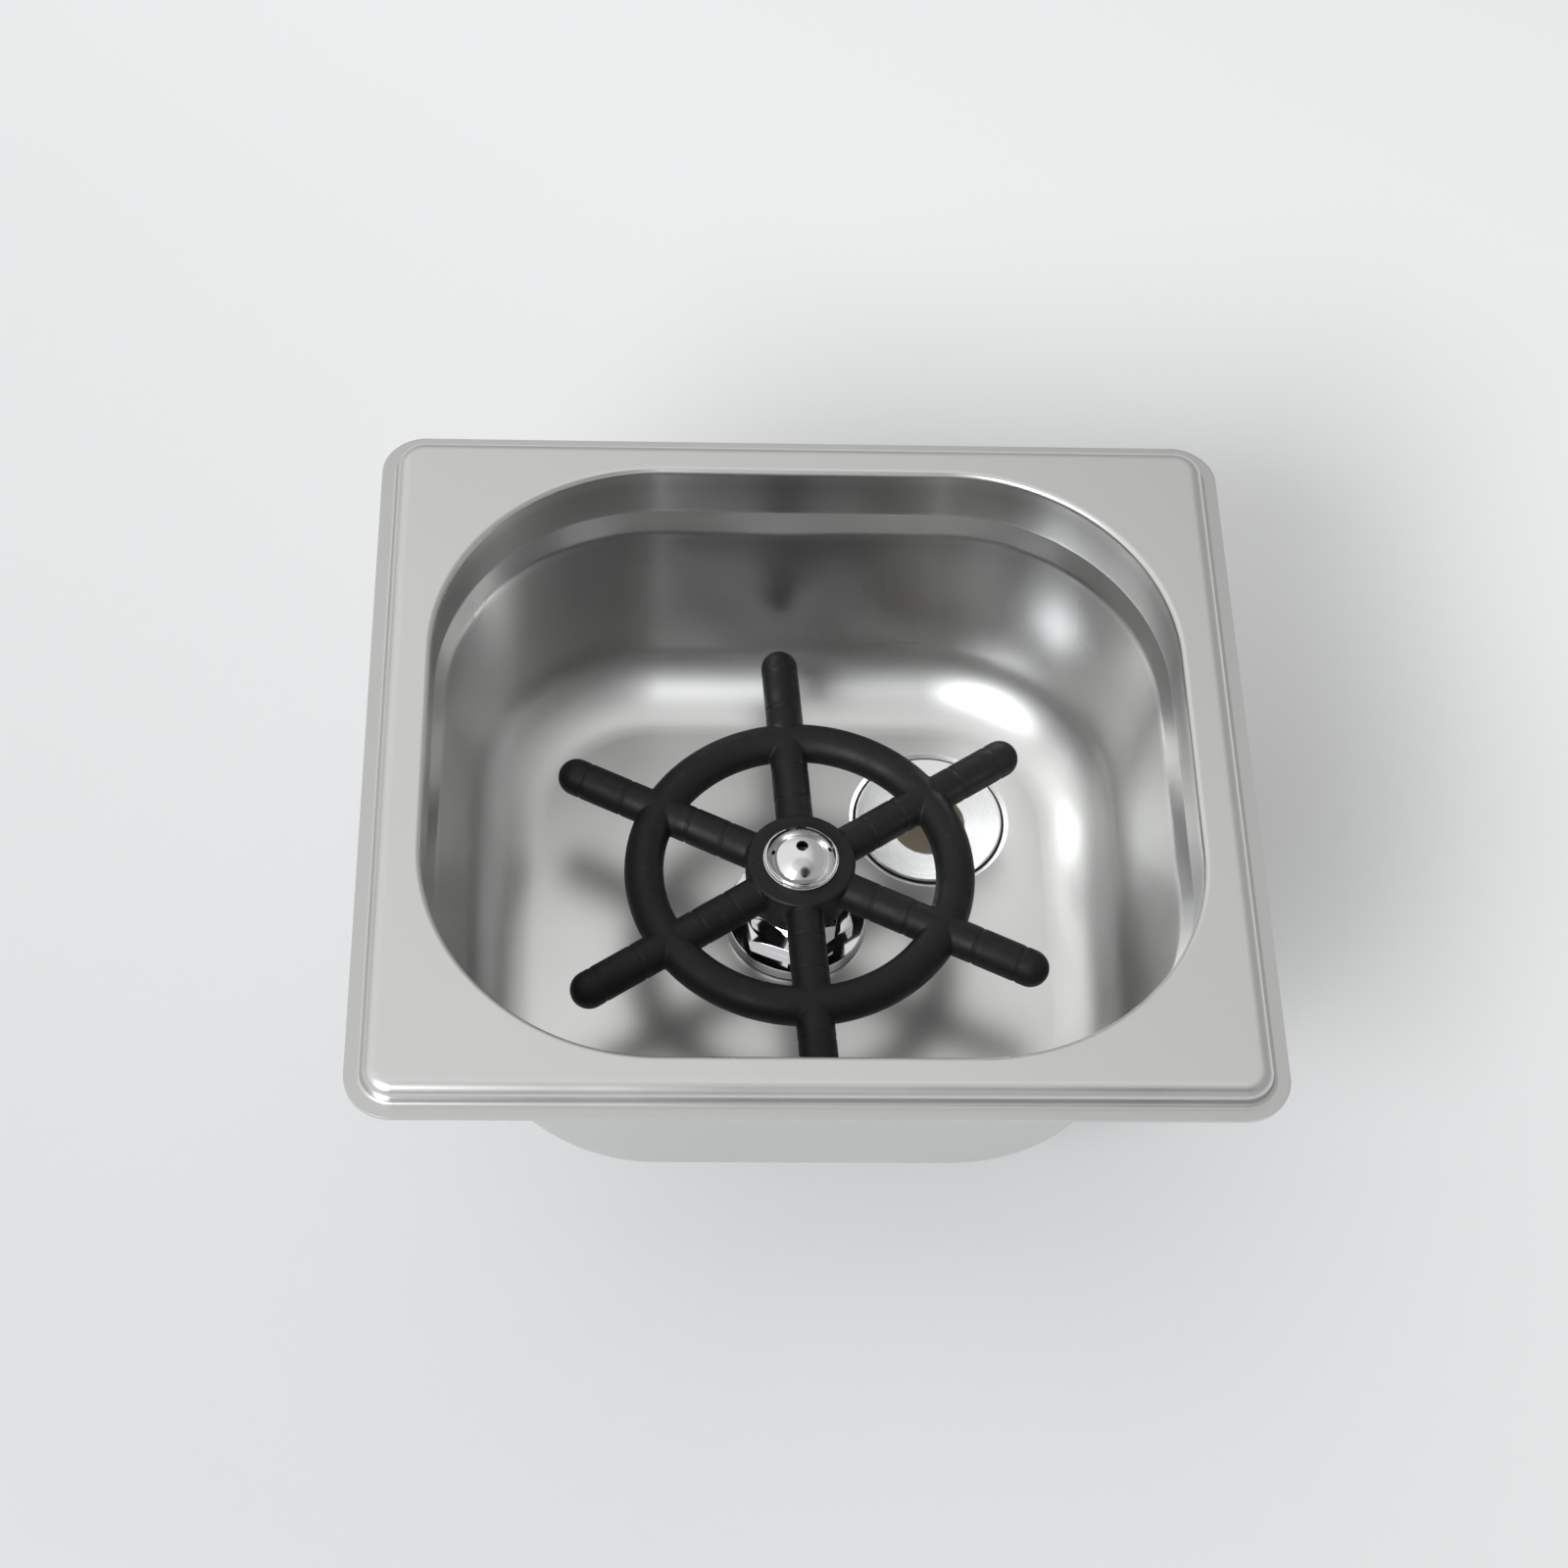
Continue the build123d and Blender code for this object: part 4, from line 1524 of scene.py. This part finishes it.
@dataclass
class UnderPan(SubAssembly):
    """The gaskets, washers and nuts that clamp the rinser and the drain from below."""

    nut_bore: float = 10.53
    nut_width: float = 27.0
    nut_chamfer: float = 1.0
    faces: int = 96
    rings: tuple[tuple[str, float, Finish], ...] = (
        ("shank_gasket", 0.3, RUBBER),
        ("drain_under_gasket", 0.3, RUBBER),
        ("shank_washer", 0.12, SHANK_WASHER_STEEL),
        ("drain_slip_washer", 0.15, WHITE),
    )
    nuts: tuple[tuple[str, Finish], ...] = (("shank_locknut", CHROME), ("drain_nut", BLACK))

    def measure(self, node: str) -> tuple[Point, float, Point]:
        """Reads the axis, the radius and the lowest and highest place of a CAD node."""
        low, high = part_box(node)
        centre = ((low.x + high.x) / 2 / MM, (low.y + high.y) / 2 / MM)
        return centre, (high.x - low.x) / 2 / MM, (low.z / MM, high.z / MM)

    def dress(self) -> None:
        """Builds the pieces and fixes them in place of the CAD ones."""
        for node, edge, finish in self.rings:
            centre, radius, heights = self.measure(node)
            piece = ring(node + "_ring", (HOLE_RADIUS, radius), heights, edge, centre, self.faces)
            self.fit(piece, finish, node)
        for node, finish in self.nuts:
            centre, _, (low, high) = self.measure(node)
            inside = [(self.nut_bore, high), (self.nut_bore, low)]
            chamfer = self.nut_chamfer
            nut = HexNut(self.nut_width, low, high, chamfer, chamfer, inside, centre=centre)
            self.fit(nut.build(node + "_hexagon"), finish, node)


@dataclass
class ValveInside(SubAssembly):
    """What lies inside the valve: the coil, and the CAD pieces that keep their shape."""

    coil_radius: float = 5.4
    wire_radius: float = 0.6
    wire_faces: int = 14
    coil_foot: float = -86.5
    coil_top: float = -72.5
    turns: int = 6
    steps: int = 48
    sharp_angle: float = 40.0
    press_travel: float = 3.4

    def coil(self) -> Piece:
        """Winds the return spring from a circle of wire."""
        rise = self.coil_top - self.coil_foot - 2 * self.wire_radius
        start = (self.coil_radius * MM, 0, (self.coil_foot + self.wire_radius) * MM)
        circle = {"vertices": self.wire_faces, "radius": self.wire_radius * MM}
        Bench.clear()
        bpy.ops.mesh.primitive_circle_add(location=start, rotation=(math.pi / 2, 0, 0), **circle)
        obj = Bench.settle(bpy.context.object)
        Bench.wind(obj, rise / self.turns, self.turns, self.steps, self.sharp_angle, RINSER_AXIS)
        return Bench.name(obj, "return_spring_coil")

    def dress(self) -> None:
        """Builds the coil and finishes the CAD pieces that stay."""
        coil = self.fit(self.coil(), WIRE, "return_spring")
        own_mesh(coil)
        self.keep(RUBBER, "bonnet_seal", "stem_seals", "poppet_seal", "nozzle_seal")
        self.keep(BRASS, "valve_stem", "spring_retainer")
        self.keep(WASHER_STEEL, "inlet_screen", "wheel_washer")
        self.keep(WHITE, "spring_seat")


# Studio


@dataclass(frozen=True)
class SkyPatch:
    """A soft change of the sky towards one direction.

    Attributes:
        side: The direction.
        cosines: Cosine to the direction at the start and at the end of the change.
        values: Value at the start and at the end.
    """

    side: Place
    cosines: Point
    values: Point

    def value(self, bench: NodeBench) -> Socket:
        """Adds the patch to the sky's nodes and returns its value."""
        lean = bench.vector("DOT_PRODUCT", bench.place, Vector(self.side).normalized())
        return bench.remap(lean, self.cosines, self.values, "SMOOTHSTEP")


@dataclass(frozen=True)
class Lamp:
    """A soft rectangular lamp that faces the sink, with its places and sizes in metres."""

    name: str
    place: Place
    size: Point
    power: float
    colour: Colour
    aim: Place = (0, 0, -0.03)

    def hang(self) -> None:
        """Hangs the lamp."""
        data = bpy.data.lights.new(self.name, "AREA")
        data.shape = "RECTANGLE"
        data.size, data.size_y = self.size
        data.energy = self.power
        data.color = self.colour
        lamp = bpy.data.objects.new(self.name, data)
        bpy.context.scene.collection.objects.link(lamp)
        lamp.location = self.place
        lamp.rotation_euler = (Vector(self.place) - Vector(self.aim)).to_track_quat("Z", "Y").to_euler()


@dataclass
class Studio:
    """The floor, the lamp, the sky and the camera. Floor sizes and camera reach are in metres."""

    floor_size: float = 12.0
    floor_drop: float = 0.0002
    camera_place: Place = (-36.2, -355.5, 513.8)
    camera_ahead: Place = (0.0496, 0.5618, -0.8258)
    camera_right: Place = (0.9987, -0.0208, 0.0458)
    lens: float = 72.44
    sensor: float = 36.0
    camera_reach: Point = (0.01, 50.0)
    lamp: Lamp = Lamp("front_left_box", (-1.156, -1.62, 1.58), (1.0, 1.0), 44.0, (0.95, 0.98, 1.0))
    room: SkyPatch = SkyPatch((-0.5, 0.05, 0.86), (0.35, 0.85), (0.45, 0.92))
    front: SkyPatch = SkyPatch((0.06, -0.47, 0.88), (0.84, 0.93), (1.0, 0.74))
    gap: SkyPatch = SkyPatch((0.166, -0.62, 0.766), (0.955, 0.995), (1.0, 0.12))
    glow: SkyPatch = SkyPatch((-0.454, -0.636, 0.62), (0.8, 1.0), (0.0, 0.25))

    def lay_floor(self) -> None:
        """Lays the pale floor at the part's lowest point."""
        Bench.clear()
        low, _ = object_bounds()
        bpy.ops.mesh.primitive_plane_add(size=self.floor_size, location=(0, 0, low.z - self.floor_drop))
        floor = Bench.name(bpy.context.object, "studio_floor")
        floor.data.materials.append(material_of(StudioFloor()))
        floor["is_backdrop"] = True

    def paint_sky(self) -> None:
        """Paints the room: bright overhead, dim and then dark high in front, a glow at the front left."""
        world = bpy.data.worlds.new("studio_room")
        bpy.context.scene.world = world
        world.use_nodes = True
        bench = NodeBench(world.node_tree, "Generated")
        ceiling = bench.maths("MULTIPLY", self.room.value(bench), self.front.value(bench))
        walls = bench.maths("MULTIPLY", ceiling, self.gap.value(bench))
        total = bench.maths("ADD", walls, self.glow.value(bench))
        background = bench.add("Background", {"Color": (1.0, 1.0, 1.0, 1), "Strength": total})
        bench.add("OutputWorld", {"Surface": background.outputs["Background"]})

    def set_camera(self) -> None:
        """Sets the camera where the photograph was taken from."""
        data = bpy.data.cameras.new("camera")
        data.lens = self.lens
        data.sensor_width = self.sensor
        data.clip_start, data.clip_end = self.camera_reach
        camera = bpy.data.objects.new("camera", data)
        bpy.context.scene.collection.objects.link(camera)
        ahead = Vector(self.camera_ahead).normalized()
        right = Vector(self.camera_right)
        right = (right - ahead * right.dot(ahead)).normalized()
        up = right.cross(ahead)
        turn = Matrix((right, up, -ahead)).transposed().to_4x4()
        camera.matrix_world = Matrix.Translation(Vector(self.camera_place) * MM) @ turn
        bpy.context.scene.camera = camera

    def build(self) -> None:
        """Sets up the whole studio."""
        self.lay_floor()
        self.lamp.hang()
        self.paint_sky()
        self.set_camera()
        bpy.context.scene.view_settings.view_transform = "Standard"


def main() -> None:
    """Builds every sub-assembly, then the studio, and reports each piece."""
    logging.basicConfig(level=logging.INFO, format="%(name)s: %(message)s")
    for assembly in (Pan(), RinserBase(), PressWheel(), Nozzle(), Drain(), UnderPan(), ValveInside()):
        assembly.dress()
        LOG.info("%s done", type(assembly).__name__)
    Studio().build()


if __name__ == "__main__":
    main()
